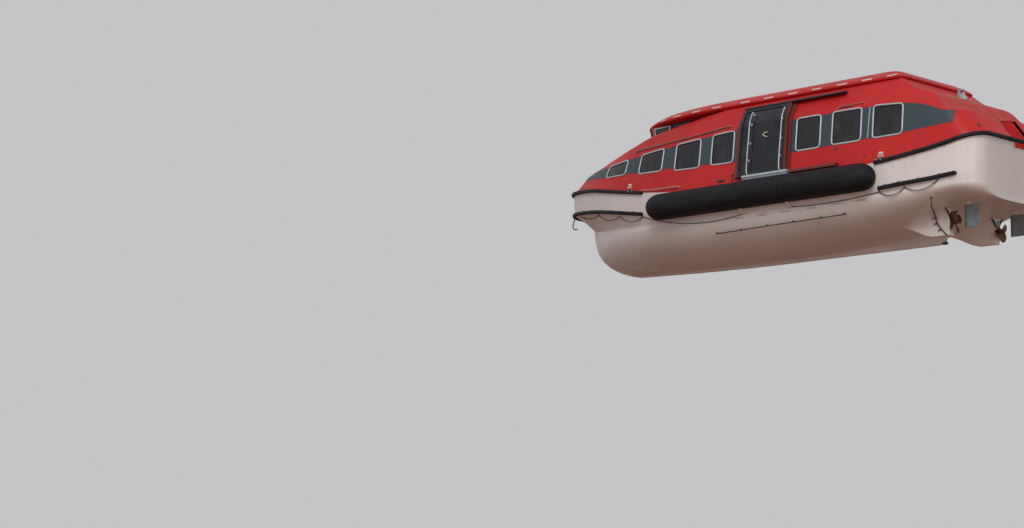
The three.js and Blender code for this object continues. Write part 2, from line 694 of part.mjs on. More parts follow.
// Fenders: three fat bolsters a side, flattened against the hull, with round outer ends.
const FENDER = { r: 372, y: 2330, z: 585, nose: 260, edge: 30, facets: 20 };
const QUARTER = [0, 1, 2, 3, 4].map((i) => (i / 4) * (Math.PI / 2));
const FENDER_SPANS = [
  ["name", "foreX", "aftX", "roundFore", "roundAft"],
  ["fore", 2810, -275, true, false],
  ["middle", -285, -1685, false, false],
  ["aft", -1695, -4380, false, true],
].slice(1);

function makeFender([, foreX, aftX, roundFore, roundAft]) {
  const length = foreX - aftX;
  const end = (round, heightAt) => {
    const c = round ? FENDER.nose : FENDER.edge;
    return QUARTER.map((angle) => [FENDER.r - c + c * Math.sin(angle), heightAt(c * (1 - Math.cos(angle)))]);
  };
  const profile = [
    [0, 0],
    ...end(roundAft, (h) => h),
    ...end(roundFore, (h) => length - h).reverse(),
    [0, length],
  ].map(([r, h]) => new THREE.Vector2(r, h));
  const geometry = new THREE.LatheGeometry(profile, FENDER.facets);
  return solid(geometry.rotateZ(-Math.PI / 2).translate(aftX, FENDER.y, FENDER.z));
}

// Running gear
const PROPELLER = {
  x0: SKEG.aftX - RUNNING_GAP,
  length: 205,
  z: -560,
  hubR: 62,
  r: 295,
  blades: 4,
  rootHalf: 38,
  bladeHalf: 125,
  bladeThick: 14,
  pitchAngle: 0.95,
};

function makePropeller(s) {
  const { x0, length, hubR, r, blades, rootHalf, bladeHalf, bladeThick, pitchAngle } = PROPELLER;
  const profile = [
    [0, 0],
    [hubR, 0],
    [hubR, length * 0.7],
    [hubR * 0.5, length * 0.95],
    [0, length],
  ].map(([radius, h]) => new THREE.Vector2(radius, h));
  let propeller = solid(new THREE.LatheGeometry(profile, 20));
  const outline = new THREE.Shape();
  outline.moveTo(-rootHalf, hubR * 0.6);
  outline.bezierCurveTo(-bladeHalf, r * 0.5, -bladeHalf, r, 0, r);
  outline.bezierCurveTo(bladeHalf, r, bladeHalf, r * 0.5, rootHalf, hubR * 0.6);
  const extrusion = { depth: bladeThick, bevelEnabled: false, curveSegments: 5 };
  for (let i = 0; i < blades; i++) {
    const blade = new THREE.ExtrudeGeometry(outline, extrusion).translate(0, 0, -bladeThick / 2);
    blade.rotateY(s * pitchAngle).rotateX(Math.PI / 2).rotateY((i / blades) * 2 * Math.PI);
    propeller = propeller.add(solid(blade.translate(0, length * 0.45, 0)));
  }
  return propeller.rotate([0, 0, 90]).translate([x0, s * SKEG.y, PROPELLER.z]);
}

function makeRudder(s) {
  const { x, foreX, aftX, y, topZ, footZ, stockR, stockLap, edgeHalf, half } = RUDDER;
  const upper = [
    [foreX, edgeHalf],
    [foreX - 60, half],
    [aftX + 120, half * 0.8],
    [aftX, edgeHalf * 0.7],
  ];
  const outline = [...upper, ...upper.map(([px, py]) => [px, -py]).reverse()];
  const blade = slab(outline, footZ, topZ).translate([0, s * y, 0]);
  return blade.add(cylinderZ(stockR, topZ - stockLap, RUDDER_PAD.z - RUNNING_GAP, x, s * y, 20));
}

// Lifting hooks stand on the deck at each end.
const HOOK_HALF = 45;
const HOOKS = [
  ["name", "x"],
  ["fore", 5350],
  ["aft", -5450],
].slice(1);

function makeHook(x) {
  const deckZ = canopyLine.rimZ(x);
  const outline = [
    [-150, -250],
    [150, -250],
    [150, 60],
    [90, 90],
    [90, 210],
    [30, 270],
    [-40, 270],
    [-80, 235],
    [-80, 205],
    [-25, 215],
    [20, 180],
    [20, 120],
    [-50, 120],
    [-60, 160],
    [-95, 160],
    [-105, 90],
    [-150, 60],
  ].map(([dx, dz]) => [x + dx, deckZ + dz]);
  return plate(outline, -HOOK_HALF, HOOK_HALF).subtract(canopyBody(GAP));
}

// Inside: seats in rows and the helm console
const SEAT = { z: SOLE_Z + GAP, seatZ: 700, plinthZ: 330, backZ: 1120 };
const SIDE_SEAT = { foreX: 2900, aftX: -4100, doorForeX: 200, doorAftX: -1800, y0: 1380, y1: 1830, toe: 120 };
const CENTRE_SEAT = { foreX: 2000, aftX: -4000, half: 480, backHalf: 50 };
const CONSOLE = { aftX: 3300, foreX: 4000, half: 450, topZ: 1350, peakX: 3800, peakZ: 1600 };

// Side seats leave the doorway clear, where only their low plinth goes on.
function makeSideSeats() {
  const { foreX, aftX, doorForeX, doorAftX, y0, y1, toe } = SIDE_SEAT;
  const plinth = box(aftX, foreX, y0 + toe, y1, SEAT.z, SEAT.plinthZ);
  const fore = box(doorForeX, foreX, y0, y1, SEAT.z, SEAT.seatZ);
  const aft = box(aftX, doorAftX, y0, y1, SEAT.z, SEAT.seatZ);
  return plinth.add(fore).add(aft);
}

function makeCentreSeats() {
  const { foreX, aftX, half, backHalf } = CENTRE_SEAT;
  const seat = box(aftX, foreX, -half, half, SEAT.z, SEAT.seatZ);
  return seat.add(box(aftX, foreX, -backHalf, backHalf, SEAT.z, SEAT.backZ));
}

function makeConsole() {
  const { aftX, foreX, half, topZ, peakX, peakZ } = CONSOLE;
  const outline = [
    [aftX, SEAT.z],
    [foreX, SEAT.z],
    [foreX, topZ],
    [peakX, peakZ],
    [aftX, topZ],
  ];
  return plate(outline, -half, half);
}

const makeEngine = (s) =>
  box(ENGINE.x0, ENGINE.x1, s * SKEG.y - ENGINE.half, s * SKEG.y + ENGINE.half, ENGINE.z0, ENGINE.z1);

function makeSternDoor() {
  const { half, z0, z1, thick, lap, clearance } = STERN_DOOR;
  const x1 = RECESS.x - RUNNING_GAP;
  return box(x1 - thick, x1, -half - lap, half + lap, z0 - clearance, z1 + lap);
}

// Finishes
function finish(color, roughness, metalness = 0) {
  return new THREE.MeshStandardMaterial({ color, roughness, metalness });
}
const MATERIALS = {
  white: finish(0xd9d6d0, 0.35),
  red: finish(0xb42a26, 0.4),
  black: finish(0x17191c, 0.6),
  glass: finish(0x23262e, 0.1),
  pale: finish(0x9fb4ba, 0.35, 0.6),
  grey: finish(0x7f8a90, 0.4, 0.5),
  bronze: finish(0x5a4028, 0.4, 0.8),
  steel: finish(0xb0b4b8, 0.3, 0.9),
  seat: finish(0x8a2f28, 0.7),
};

function piece(name, shape, material) {
  const raw = shape.getMesh();
  const geometry = new THREE.BufferGeometry();
  const positions = new Float32Array(raw.numVert * 3);
  for (let i = 0; i < raw.numVert; i++) {
    positions.set(raw.vertProperties.subarray(i * raw.numProp, i * raw.numProp + 3), i * 3);
  }
  geometry.setAttribute("position", new THREE.BufferAttribute(positions, 3));
  geometry.setIndex(new THREE.BufferAttribute(raw.triVerts, 1));
  const mesh = new THREE.Mesh(geometry, material);
  mesh.name = name;
  return mesh;
}

const boat = new THREE.Group();
const skins = [hullBody(GAP, SEAM_LAP), canopyBody(GAP, SEAM_LAP)];
const clear = (shape) => skins.reduce((rest, skin) => rest.subtract(skin), shape);

boat.add(piece("hull", makeHull(), MATERIALS.white));
const [canopyFore, canopyAft] = makeCanopy();
boat.add(piece("canopy_fore", canopyFore, MATERIALS.red));
boat.add(piece("canopy_aft", canopyAft, MATERIALS.red));
boat.add(piece("stern_cockpit", makeSternCockpit(), MATERIALS.red));
boat.add(piece("roof_panel", makeRoof(), MATERIALS.red));
boat.add(piece("roof_hatch", makeHatch(), MATERIALS.red));
boat.add(piece("stern_door", makeSternDoor(), MATERIALS.red));
boat.add(...makeHelm({ red: MATERIALS.red, glass: MATERIALS.glass }));
boat.add(...makeWindows(MATERIALS.glass));
SIDES.forEach((at) => {
  boat.add(...makeDoor(at, { frame: MATERIALS.black, glass: MATERIALS.glass, rail: MATERIALS.pale }));
  boat.add(...makeTracks(at, { track: MATERIALS.black, sill: MATERIALS.pale }));
  FENDER_SPANS.forEach((row) => {
    const fender = clear(onSide(makeFender(row), at.s));
    boat.add(piece("fender_" + row[0] + "_" + at.side, fender, MATERIALS.black));
  });
  boat.add(piece("propeller_" + at.side, makePropeller(at.s), MATERIALS.bronze));
  boat.add(piece("rudder_" + at.side, makeRudder(at.s), MATERIALS.grey));
  boat.add(piece("engine_" + at.side, makeEngine(at.s), MATERIALS.grey));
  boat.add(piece("seats_" + at.side, onSide(makeSideSeats(), at.s), MATERIALS.seat));
  const lowerAft = LOWER_AFT_STATIONS.map((x) => [x, at.s]);
  boat.add(piece("lower_strake_aft_" + at.side, strake("strake", lowerAft, at.s), MATERIALS.black));
});
boat.add(piece("seats_centre", makeCentreSeats(), MATERIALS.seat));
boat.add(piece("helm_console", makeConsole(), MATERIALS.grey));
boat.add(piece("upper_strake_fore", strake("sheer", aroundEnd(UPPER_FORE_STATIONS), -1), MATERIALS.black));
boat.add(piece("lower_strake_fore", strake("strake", aroundEnd(LOWER_FORE_STATIONS), -1), MATERIALS.black));
boat.add(piece("upper_strake_aft", strake("sheer", aroundEnd(UPPER_AFT_STATIONS), 1), MATERIALS.black));
HOOKS.forEach(([name, x]) => boat.add(piece("lifting_hook_" + name, makeHook(x), MATERIALS.steel)));

export default boat;
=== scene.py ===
# %% [markdown]
# # An enclosed lifeboat
# A tender lifeboat hangs above the eye: white hull, red canopy, dark window band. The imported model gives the
# frame, and every finer surface here goes where that frame says. Shapes are functions of two parameters on
# numpy grids, so that each one can be read as a formula.

# %% Load the frame
import math

import bmesh
import bpy
import numpy as np
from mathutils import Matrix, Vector
from mathutils.geometry import delaunay_2d_cdt


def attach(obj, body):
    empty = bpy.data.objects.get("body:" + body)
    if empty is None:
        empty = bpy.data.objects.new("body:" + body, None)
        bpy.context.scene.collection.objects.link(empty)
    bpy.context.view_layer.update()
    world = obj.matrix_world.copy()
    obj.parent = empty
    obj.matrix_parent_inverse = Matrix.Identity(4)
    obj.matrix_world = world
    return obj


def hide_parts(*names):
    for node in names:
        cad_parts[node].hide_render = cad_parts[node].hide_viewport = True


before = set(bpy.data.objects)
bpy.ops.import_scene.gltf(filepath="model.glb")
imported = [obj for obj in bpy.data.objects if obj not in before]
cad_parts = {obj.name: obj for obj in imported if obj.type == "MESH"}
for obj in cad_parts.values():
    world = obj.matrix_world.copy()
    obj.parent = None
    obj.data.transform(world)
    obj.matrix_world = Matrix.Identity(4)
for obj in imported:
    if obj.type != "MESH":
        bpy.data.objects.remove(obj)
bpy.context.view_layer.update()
MM = 0.001
SIDES = (("port", 1), ("starboard", -1))

# %% [markdown]
# ## Camera
# The photo looks up at the boat's port side from abaft, 60 m away. Its long lens keeps lines almost parallel.
# The camera's place was worked out from level lines. It stands at floor level, with the boat hung above.

# %% Camera
CAMERA_AT = (-36.4, 48.3, -9.41)
CAMERA_HEADING = math.radians(46.08)  # from the bow's direction towards starboard
CAMERA_PITCH = math.radians(8.055)
LENS_MM, SENSOR_MM = 80.86, 36
CLIP_NEAR, CLIP_FAR = 0.5, 600


def make_camera():
    """A camera that looks along (cos h cos p, -sin h cos p, sin p), for a heading h and a pitch p."""
    looks = Vector((
        math.cos(CAMERA_HEADING) * math.cos(CAMERA_PITCH),
        -math.sin(CAMERA_HEADING) * math.cos(CAMERA_PITCH),
        math.sin(CAMERA_PITCH),
    ))
    camera = bpy.data.objects.new("camera", bpy.data.cameras.new("camera"))
    bpy.context.scene.collection.objects.link(camera)
    camera.location = CAMERA_AT
    camera.rotation_euler = looks.to_track_quat("-Z", "Y").to_euler()
    camera.data.lens = LENS_MM
    camera.data.sensor_width = SENSOR_MM
    camera.data.clip_start = CLIP_NEAR
    camera.data.clip_end = CLIP_FAR
    bpy.context.scene.camera = camera


make_camera()
print("camera at", CAMERA_AT, "with a lens of", LENS_MM, "mm")

# %% [markdown]
# ## Materials
# Each finish is a small node tree on a Principled shader. Numbers that are the same all over go straight on
# the shader's sockets. What varies, such as streaks, dust and grain, comes from noise on Object coordinates.


# %% Helpers for node trees
class Tree:
    """A material's nodes, with short calls for what every finish here needs."""

    def __init__(self, name):
        self.material = bpy.data.materials.new(name)
        self.material.use_nodes = True
        self.nodes = self.material.node_tree.nodes
        self.links = self.material.node_tree.links
        self.shader = self.nodes["Principled BSDF"]
        self.coordinates = self.nodes.new("ShaderNodeTexCoord").outputs["Object"]

    def set(self, **sockets):
        """Puts constants on the shader's own sockets."""
        for name, value in sockets.items():
            self.shader.inputs[name.replace("_", " ")].default_value = value

    def link(self, output, name):
        """Joins an output to one of the shader's sockets."""
        self.links.new(output, self.shader.inputs[name])

    def stretched(self, scale):
        """Object coordinates times a scale for each axis."""
        node = self.nodes.new("ShaderNodeMapping")
        node.inputs["Scale"].default_value = scale
        self.links.new(self.coordinates, node.inputs["Vector"])
        return node.outputs["Vector"]

    def noise(self, scale, detail=4, stretch=(1, 1, 1)):
        """Fractal noise from 0 to 1."""
        node = self.nodes.new("ShaderNodeTexNoise")
        node.inputs["Scale"].default_value = scale
        node.inputs["Detail"].default_value = detail
        node.inputs["Roughness"].default_value = 0.55
        self.links.new(self.stretched(stretch), node.inputs["Vector"])
        return node.outputs["Fac"]

    def ramp(self, value, *stops):
        """A colour ramp, from (place, colour) stops. A colour may be one grey number."""
        node = self.nodes.new("ShaderNodeValToRGB")
        while len(node.color_ramp.elements) < len(stops):
            node.color_ramp.elements.new(0.5)
        for element, (place, colour) in zip(node.color_ramp.elements, stops):
            element.position = place
            grey = isinstance(colour, (int, float))
            element.color = (colour, colour, colour, 1) if grey else (*colour, 1)
        self.links.new(value, node.inputs["Fac"])
        return node.outputs["Color"]

    def mix(self, factor, a, b):
        """Mixes two colours, each a socket or three numbers."""
        node = self.nodes.new("ShaderNodeMix")
        node.data_type = "RGBA"
        for socket, value in ((node.inputs[0], factor), (node.inputs[6], a), (node.inputs[7], b)):
            if isinstance(value, bpy.types.NodeSocket):
                self.links.new(value, socket)
            elif isinstance(value, (int, float)):
                socket.default_value = value
            else:
                socket.default_value = (*value, 1)
        return node.outputs[2]

    def math(self, operation, a, b):
        """One operation on two numbers or sockets."""
        node = self.nodes.new("ShaderNodeMath")
        node.operation = operation
        for socket, value in zip(node.inputs, (a, b)):
            if isinstance(value, bpy.types.NodeSocket):
                self.links.new(value, socket)
            else:
                socket.default_value = value
        return node.outputs[0]

    def bump(self, height, strength, distance):
        """Tilts the shading normal by a height that is given in metres of distance."""
        node = self.nodes.new("ShaderNodeBump")
        node.inputs["Strength"].default_value = strength
        node.inputs["Distance"].default_value = distance
        self.links.new(height, node.inputs["Height"])
        self.link(node.outputs["Normal"], "Normal")


# %% Gelcoat, white below and red above
def make_gelcoat(name, colour, faded, dirt, roughness, streaks=0.35, shine=0.25):
    """Polyester gelcoat: slow fading, rain streaks that run down, fine dust, and a slightly wavy gloss."""
    tree = Tree(name)
    fading = tree.ramp(tree.noise(0.35, 3), (0.35, 0.0), (0.7, 1.0))
    base = tree.mix(fading, colour, faded)
    runs = tree.ramp(tree.noise(3.0, 5, (3.0, 3.0, 0.16)), (0.5, 0.0), (0.78, 1.0))
    patches = tree.ramp(tree.noise(0.8, 4), (0.4, 0.0), (0.7, 1.0))
    wash = tree.math("MULTIPLY", runs, patches)
    base = tree.mix(tree.math("MULTIPLY", wash, streaks), base, dirt)
    dust = tree.ramp(tree.noise(90, 3), (0.55, 0.0), (0.85, 0.25))
    tree.link(tree.mix(dust, base, dirt), "Base Color")
    gloss = tree.ramp(tree.noise(2.2, 5), (0.3, roughness - 0.06), (0.75, roughness + 0.14))
    tree.link(gloss, "Roughness")
    tree.set(Specular_IOR_Level=shine, Coat_Weight=shine * 0.3, Coat_Roughness=0.15)
    tree.bump(tree.noise(1.6, 2), 0.25, 0.004)
    return tree.material


HULL_WHITE = make_gelcoat("hull_white", (0.74, 0.71, 0.69), (0.66, 0.63, 0.61), (0.36, 0.28, 0.24), 0.34,
                          shine=0.45)
CANOPY_RED = make_gelcoat("canopy_red", (0.44, 0.012, 0.012), (0.52, 0.020, 0.018), (0.16, 0.010, 0.010), 0.5,
                          streaks=0.5)
BAND_SLATE = make_gelcoat("band_slate", (0.036, 0.056, 0.070), (0.046, 0.070, 0.086), (0.08, 0.08, 0.08),
                          0.42, streaks=0.3)
LINING_PALE = make_gelcoat("lining_pale", (0.66, 0.64, 0.60), (0.60, 0.58, 0.54), (0.35, 0.30, 0.26), 0.5,
                           streaks=0.2)
print("gelcoats", [m.name for m in (HULL_WHITE, CANOPY_RED, BAND_SLATE, LINING_PALE)])

# %% [markdown]
# ## Lines of the boat
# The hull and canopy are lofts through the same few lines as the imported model: at each station a table says
# where the bilge, the strake, the sheer, the knee and the roof's rim are. Between stations a monotone cubic
# runs, which never overshoots, so a fair line stays fair.

# %% Tables in millimetres
HULL_LINES = [
    ("x", "bottomZ", "bilgeY", "bilgeZ", "strakeY", "strakeZ", "sheerY", "sheerZ", "full"),
    (-7200, -120, 2080, 220, 2110, 450, 2130, 1370, 0.45),
    (-6500, -130, 2090, 210, 2125, 410, 2150, 1205, 0.48),
    (-6000, -185, 2100, 200, 2140, 375, 2170, 1120, 0.5),
    (-5500, -320, 2110, 190, 2155, 350, 2190, 1055, 0.55),
    (-5000, -450, 2120, 185, 2170, 330, 2200, 1000, 0.62),
    (-4400, -580, 2130, 180, 2180, 295, 2210, 945, 0.7),
    (-3300, -720, 2145, 175, 2190, 270, 2220, 905, 0.75),
    (-1000, -810, 2160, 170, 2200, 255, 2230, 880, 0.8),
    (1000, -820, 2150, 180, 2190, 300, 2220, 920, 0.82),
    (2200, -810, 2080, 210, 2140, 400, 2195, 1000, 0.84),
    (3300, -800, 1930, 250, 2060, 550, 2130, 1125, 0.88),
    (4400, -785, 1620, 320, 1880, 735, 1950, 1305, 0.92),
    (5160, -755, 1320, 380, 1690, 860, 1770, 1440, 0.95),
    (5720, -620, 1000, 450, 1510, 930, 1570, 1520, 1),
    (6280, -350, 600, 550, 1280, 985, 1325, 1570, 1),
    (6500, -120, 380, 620, 1150, 1000, 1190, 1585, 1),
    (6600, 150, 250, 660, 1075, 1005, 1115, 1590, 1),
    (6660, 500, 150, 700, 1025, 1008, 1060, 1593, 1),
    (6720, 740, 130, 780, 965, 1010, 1000, 1597, 1),
    (6850, 820, 110, 860, 790, 1015, 830, 1605, 1),
    (7000, 870, 80, 905, 470, 1020, 500, 1615, 1),
    (7060, 890, 30, 925, 70, 1022, 80, 1620, 1),
]
CANOPY_LINES = [
    ("x", "kneeY", "kneeZ", "rimY", "rimZ"),
    (-7200, 1990, 2010, 1900, 2030),
    (-6600, 2010, 2060, 1880, 2140),
    (-6500, 2013, 2076, 1870, 2190),
    (-6200, 2020, 2150, 1810, 2380),
    (-5860, 2028, 2239, 1750, 2560),
    (-5550, 2030, 2316, 1700, 2680),
    (-5300, 2030, 2372, 1675, 2750),
    (-5120, 2030, 2402, 1660, 2850),
    (-4900, 2030, 2430, 1660, 3010),
    (-4800, 2030, 2440, 1660, 3090),
    (-2000, 2030, 2460, 1660, 3090),
    (0, 2020, 2440, 1660, 3090),
    (600, 2011, 2419, 1660, 3090),
    (1100, 2000, 2395, 1620, 3055),
    (1600, 1977, 2365, 1580, 3005),
    (2200, 1933, 2327, 1520, 2945),
    (2900, 1853, 2281, 1455, 2865),
    (3460, 1766, 2244, 1400, 2790),
    (4250, 1598, 2206, 1240, 2630),
    (5110, 1358, 2170, 1020, 2440),
    (5780, 1125, 2125, 780, 2300),
    (6300, 870, 2060, 540, 2185),
    (6600, 670, 1980, 370, 2070),
    (6850, 430, 1860, 215, 1930),
    (7000, 210, 1750, 100, 1790),
    (7060, 50, 1670, 25, 1690),
]


def line(table, name, unit=MM):
    """A monotone cubic through one column of a table, as a function of x in metres.

    Each tangent is the harmonic mean of the slopes beside it, or zero where they differ in sign."""
    rows = np.array(table[1:], float)
    xs, ys = rows[:, 0] * MM, rows[:, table[0].index(name)] * unit
    slopes = np.diff(ys) / np.diff(xs)
    before, after = slopes[:-1], slopes[1:]
    total = np.where(before * after > 0, before + after, 1)
    middle = np.where(before * after > 0, 2 * before * after / total, 0)
    tangents = np.concatenate([slopes[:1], middle, slopes[-1:]])

    def value(x):
        x = np.asarray(x, float)
        i = np.clip(np.searchsorted(xs, x, side="right") - 1, 0, len(xs) - 2)
        h = xs[i + 1] - xs[i]
        t = np.clip((x - xs[i]) / h, 0, 1)
        rise = ys[i + 1] - ys[i]
        bend = (tangents[i] * h - rise) * (1 - t) - (tangents[i + 1] * h - rise) * t
        return ys[i] + rise * t + bend * t * (1 - t)

    return value


HULL = {name: line(HULL_LINES, name, 1 if name == "full" else MM) for name in HULL_LINES[0][1:]}
CANOPY = {name: line(CANOPY_LINES, name) for name in CANOPY_LINES[0][1:]}

# %% [markdown]
# ## The stern
# Seen from above, the stern's corners are quarter circles. Seen from the side, the transom leans forward.
# Both are done by moving points of the loft, so hull and canopy meet along one edge there.

# %% The stern's shape
STERN_X, BOW_X = -7.2, 7.06
STERN_CORNER_R, STERN_HALF_BEAM = 0.6, 2.13
RAKE_START_X, RAKE_Z = -5.6, 1.37
RAKE_BELOW = 0.12  # metres forward at the waterline
RAKE_ABOVE = 0.75  # metres forward for each metre up


def smooth_step(t):
    """t^2 (3 - 2 t) from 0 to 1, and level outside."""
    t = np.clip(t, 0, 1)
    return t * t * (3 - 2 * t)


def rake_at(z):
    """How far the transom leans forward at a height."""
    return np.where(z > RAKE_Z, (z - RAKE_Z) * RAKE_ABOVE, np.minimum(1, (RAKE_Z - z) / RAKE_Z) * RAKE_BELOW)


def rake_share(x):
    """How much of the rake a station takes: none where it starts, all at the transom."""
    return smooth_step((RAKE_START_X - x) / (RAKE_START_X - STERN_X))


def shape_stern(x, y, z):
    """Rounds the stern's corners by arcs in plan, and leans it forward above and below the sheer."""
    into = np.minimum(STERN_CORNER_R, x - STERN_X)
    arc = np.sqrt(np.maximum(0, STERN_CORNER_R**2 - (STERN_CORNER_R - into) ** 2))
    squeeze = 1 - (STERN_CORNER_R - arc) / STERN_HALF_BEAM
    return np.stack([x + rake_at(z) * rake_share(x), y * squeeze, z], -1)


def before_rake(x, z):
    """The station whose point at height z ends up at x, found by a few steps of x minus rake."""
    x, z = np.broadcast_arrays(np.asarray(x, float), np.asarray(z, float))
    station = x
    for _ in range(16):
        station = x - rake_at(z) * rake_share(station)
    return station


def hull_point(x, v):
    """The port half of the hull. v runs 0 to 1 round the bilge as a power of a sine, 1 to 2 up to the strake
    and 2 to 3 up to the sheer."""
    x, v = np.broadcast_arrays(np.asarray(x, float), np.asarray(v, float))
    at = {name: value(x) for name, value in HULL.items()}
    angle = np.clip(v, 0, 1) * math.pi / 2
    y = at["bilgeY"] * np.power(np.sin(angle), at["full"])
    z = at["bottomZ"] + (at["bilgeZ"] - at["bottomZ"]) * (1 - np.cos(angle))
    low, high = np.clip(v - 1, 0, 1), np.clip(v - 2, 0, 1)
    y = y + (at["strakeY"] - at["bilgeY"]) * low + (at["sheerY"] - at["strakeY"]) * high
    z = z + (at["strakeZ"] - at["bilgeZ"]) * low + (at["sheerZ"] - at["strakeZ"]) * high
    return shape_stern(x, y, z)


KNEE_SETBACK = 0.05
RIM_SETBACK = 0.06


def canopy_section(x, v):
    """y and z of the port half of the canopy before the stern is shaped: 0 sheer, 1 knee, 2 rim, 3 crown.

    Near the knee and the rim a quadratic curve rounds the corner over a short setback."""
    zero = np.zeros_like(x)
    ys = np.stack([HULL["sheerY"](x), CANOPY["kneeY"](x), CANOPY["rimY"](x), zero], -1)
    zs = np.stack([HULL["sheerZ"](x), CANOPY["kneeZ"](x), CANOPY["rimZ"](x), CANOPY["rimZ"](x)], -1)
    corners = np.stack([ys, zs], -1)

    def straight(at):
        at = np.clip(at, 0, 3)
        i = np.minimum(at.astype(int), 2)[..., None, None]
        a = np.take_along_axis(corners, i, -2)[..., 0, :]
        b = np.take_along_axis(corners, i + 1, -2)[..., 0, :]
        return a + (b - a) * (at - i[..., 0, 0])[..., None]

    point = straight(v)
    lengths = np.linalg.norm(np.diff(corners, axis=-2), axis=-1)
    for k, setback in ((1, KNEE_SETBACK), (2, RIM_SETBACK)):
        start = k - np.minimum(0.45, setback / np.maximum(lengths[..., k - 1], 1e-6))
        end = k + np.minimum(0.45, setback / np.maximum(lengths[..., k], 1e-6))
        t = np.clip((v - start) / (end - start), 0, 1)[..., None]
        a, b, c = straight(start), corners[..., k, :], straight(end)
        curve = (1 - t) ** 2 * a + 2 * t * (1 - t) * b + t**2 * c
        near = ((v > start) & (v < end))[..., None]
        point = np.where(near, curve, point)
    return point[..., 0], point[..., 1]


def canopy_point(x, v):
    """The whole canopy. v from 3 to 6 runs down the starboard side as 3 to 0 does up the port side."""
    x, v = np.broadcast_arrays(np.asarray(x, float), np.asarray(v, float))
    side = np.where(v > 3, -1.0, 1.0)
    y, z = canopy_section(x, np.where(v > 3, 6 - v, v))
    return shape_stern(x, side * y, z)


def offset_surface(surface, out):
    """A surface moved along its normal, which is the cross product of its two partial differences."""
    step = 1e-3

    def moved(x, v):
        du = surface(x + step, v) - surface(x - step, v)
        dv = surface(x, v + step) - surface(x, v - step)
        normal = np.cross(dv, du)
        length = np.linalg.norm(normal, axis=-1, keepdims=True)
        return surface(x, v) + normal / np.maximum(length, 1e-12) * out

    return moved


def side_height(x, z, out=0.0):
    """The v of the port side at a height, on a surface that lies `out` outside the canopy."""
    ys = [HULL["sheerY"](x), CANOPY["kneeY"](x), CANOPY["rimY"](x)]
    zs = [HULL["sheerZ"](x), CANOPY["kneeZ"](x), CANOPY["rimZ"](x)]
    found = []
    for k in (0, 1):
        rise, inward = zs[k + 1] - zs[k], ys[k] - ys[k + 1]
        lift = out * inward / np.hypot(rise, inward)
        found.append(k + (z - lift - zs[k]) / rise)
    return np.where(found[0] < 1, found[0], np.maximum(1, found[1]))


def on_side(outline, out=0.0):
    """An outline of (x, z) in side view as (x, v) on the canopy's port side."""
    outline = np.asarray(outline, float)
    x = before_rake(*outline.T)
    return np.stack([x, side_height(x, outline[:, 1], out)], -1)


def side_point(x, z, out=0.0):
    """The point of the port side at x and z, `out` outside the canopy."""
    x = before_rake(x, z)
    return offset_surface(canopy_point, out)(x, side_height(x, z, out))


def hull_height(x, y):
    """The hull bottom's z at a distance y from the centreline, inside the round of the bilge."""
    at = {name: value(x) for name, value in HULL.items()}
    sine = np.clip(np.abs(y) / at["bilgeY"], 0, 1) ** (1 / at["full"])
    return at["bottomZ"] + (at["bilgeZ"] - at["bottomZ"]) * (1 - np.sqrt(1 - sine**2))


def hull_side(x, z):
    """The v of the port side of the hull at a height, found on a fine table of each section."""
    x, z = np.broadcast_arrays(np.asarray(x, float), np.asarray(z, float))
    vs = np.linspace(0, 3, 241)
    heights = hull_point(x[..., None], vs)[..., 2]
    i = np.clip((heights < z[..., None]).sum(-1), 1, len(vs) - 1)
    low = np.take_along_axis(heights, (i - 1)[..., None], -1)[..., 0]
    high = np.take_along_axis(heights, i[..., None], -1)[..., 0]
    share = np.clip((z - low) / np.maximum(high - low, 1e-9), 0, 1)
    return vs[i - 1] + (vs[i] - vs[i - 1]) * share


def hull_at(x, z, out=0.0):
    """The point of the hull's port side at x and z, `out` outside it."""
    x = before_rake(x, z)
    return offset_surface(hull_point, out)(x, np.clip(hull_side(x, z), 0.01, 2.99))


print("bow", hull_point(7.0, 3.0).round(3), "knee amidships", canopy_point(0.0, 1.0).round(3))

# %% [markdown]
# ## Meshes from arrays
# A piece is a list of patches, each an array of points and an array of faces. One function joins them,
# merges shared points, turns the faces outwards and gives the piece its finish and the body that it rides on.


# %% Patches
def grid_faces(rows, columns, wrap_rows=False, wrap_columns=False):
    """Quads between neighbouring points of a grid, closed on itself either way if asked."""
    r = np.arange(rows if wrap_rows else rows - 1)[:, None]
    c = np.arange(columns if wrap_columns else columns - 1)[None, :]
    r1, c1 = (r + 1) % rows, (c + 1) % columns
    quads = [r * columns + c, r * columns + c1, r1 * columns + c1, r1 * columns + c]
    return np.stack(quads, -1).reshape(-1, 4)


def grid_patch(points, wrap_rows=False, wrap_columns=False):
    """A grid of points, rows by columns by 3, as a patch."""
    rows, columns = points.shape[:2]
    return points.reshape(-1, 3), grid_faces(rows, columns, wrap_rows, wrap_columns)


def fan_patch(loop):
    """A closed loop filled towards its middle."""
    k = np.arange(len(loop))
    faces = np.stack([k, (k + 1) % len(loop), np.full(len(loop), len(loop))], -1)
    return np.vstack([loop, loop.mean(0)]), faces


def capped(rings):
    """Closed rings joined in order, with the first and the last one filled."""
    rings = np.asarray(rings)
    return [grid_patch(rings, False, True), fan_patch(rings[0]), fan_patch(rings[-1])]


def ruled(start, end, count):
    """Straight lines from each point of one row to the same point of another."""
    return grid_patch(start + (end - start) * np.linspace(0, 1, count)[:, None, None])


def plane(axis, at):
    """A flat surface square to an axis, whose two parameters are the other two coordinates."""
    return lambda a, b: np.insert(np.stack([a, b], -1), axis, at, -1)


def rectangle(x0, x1, y0, y1):
    """Four corners, in order round the rectangle."""
    return [[x0, y0], [x1, y0], [x1, y1], [x0, y1]]


def mirrored(patch):
    """A patch on the other side of the centreline, with its faces turned back."""
    return patch[0] * (1, -1, 1), patch[1][:, ::-1]


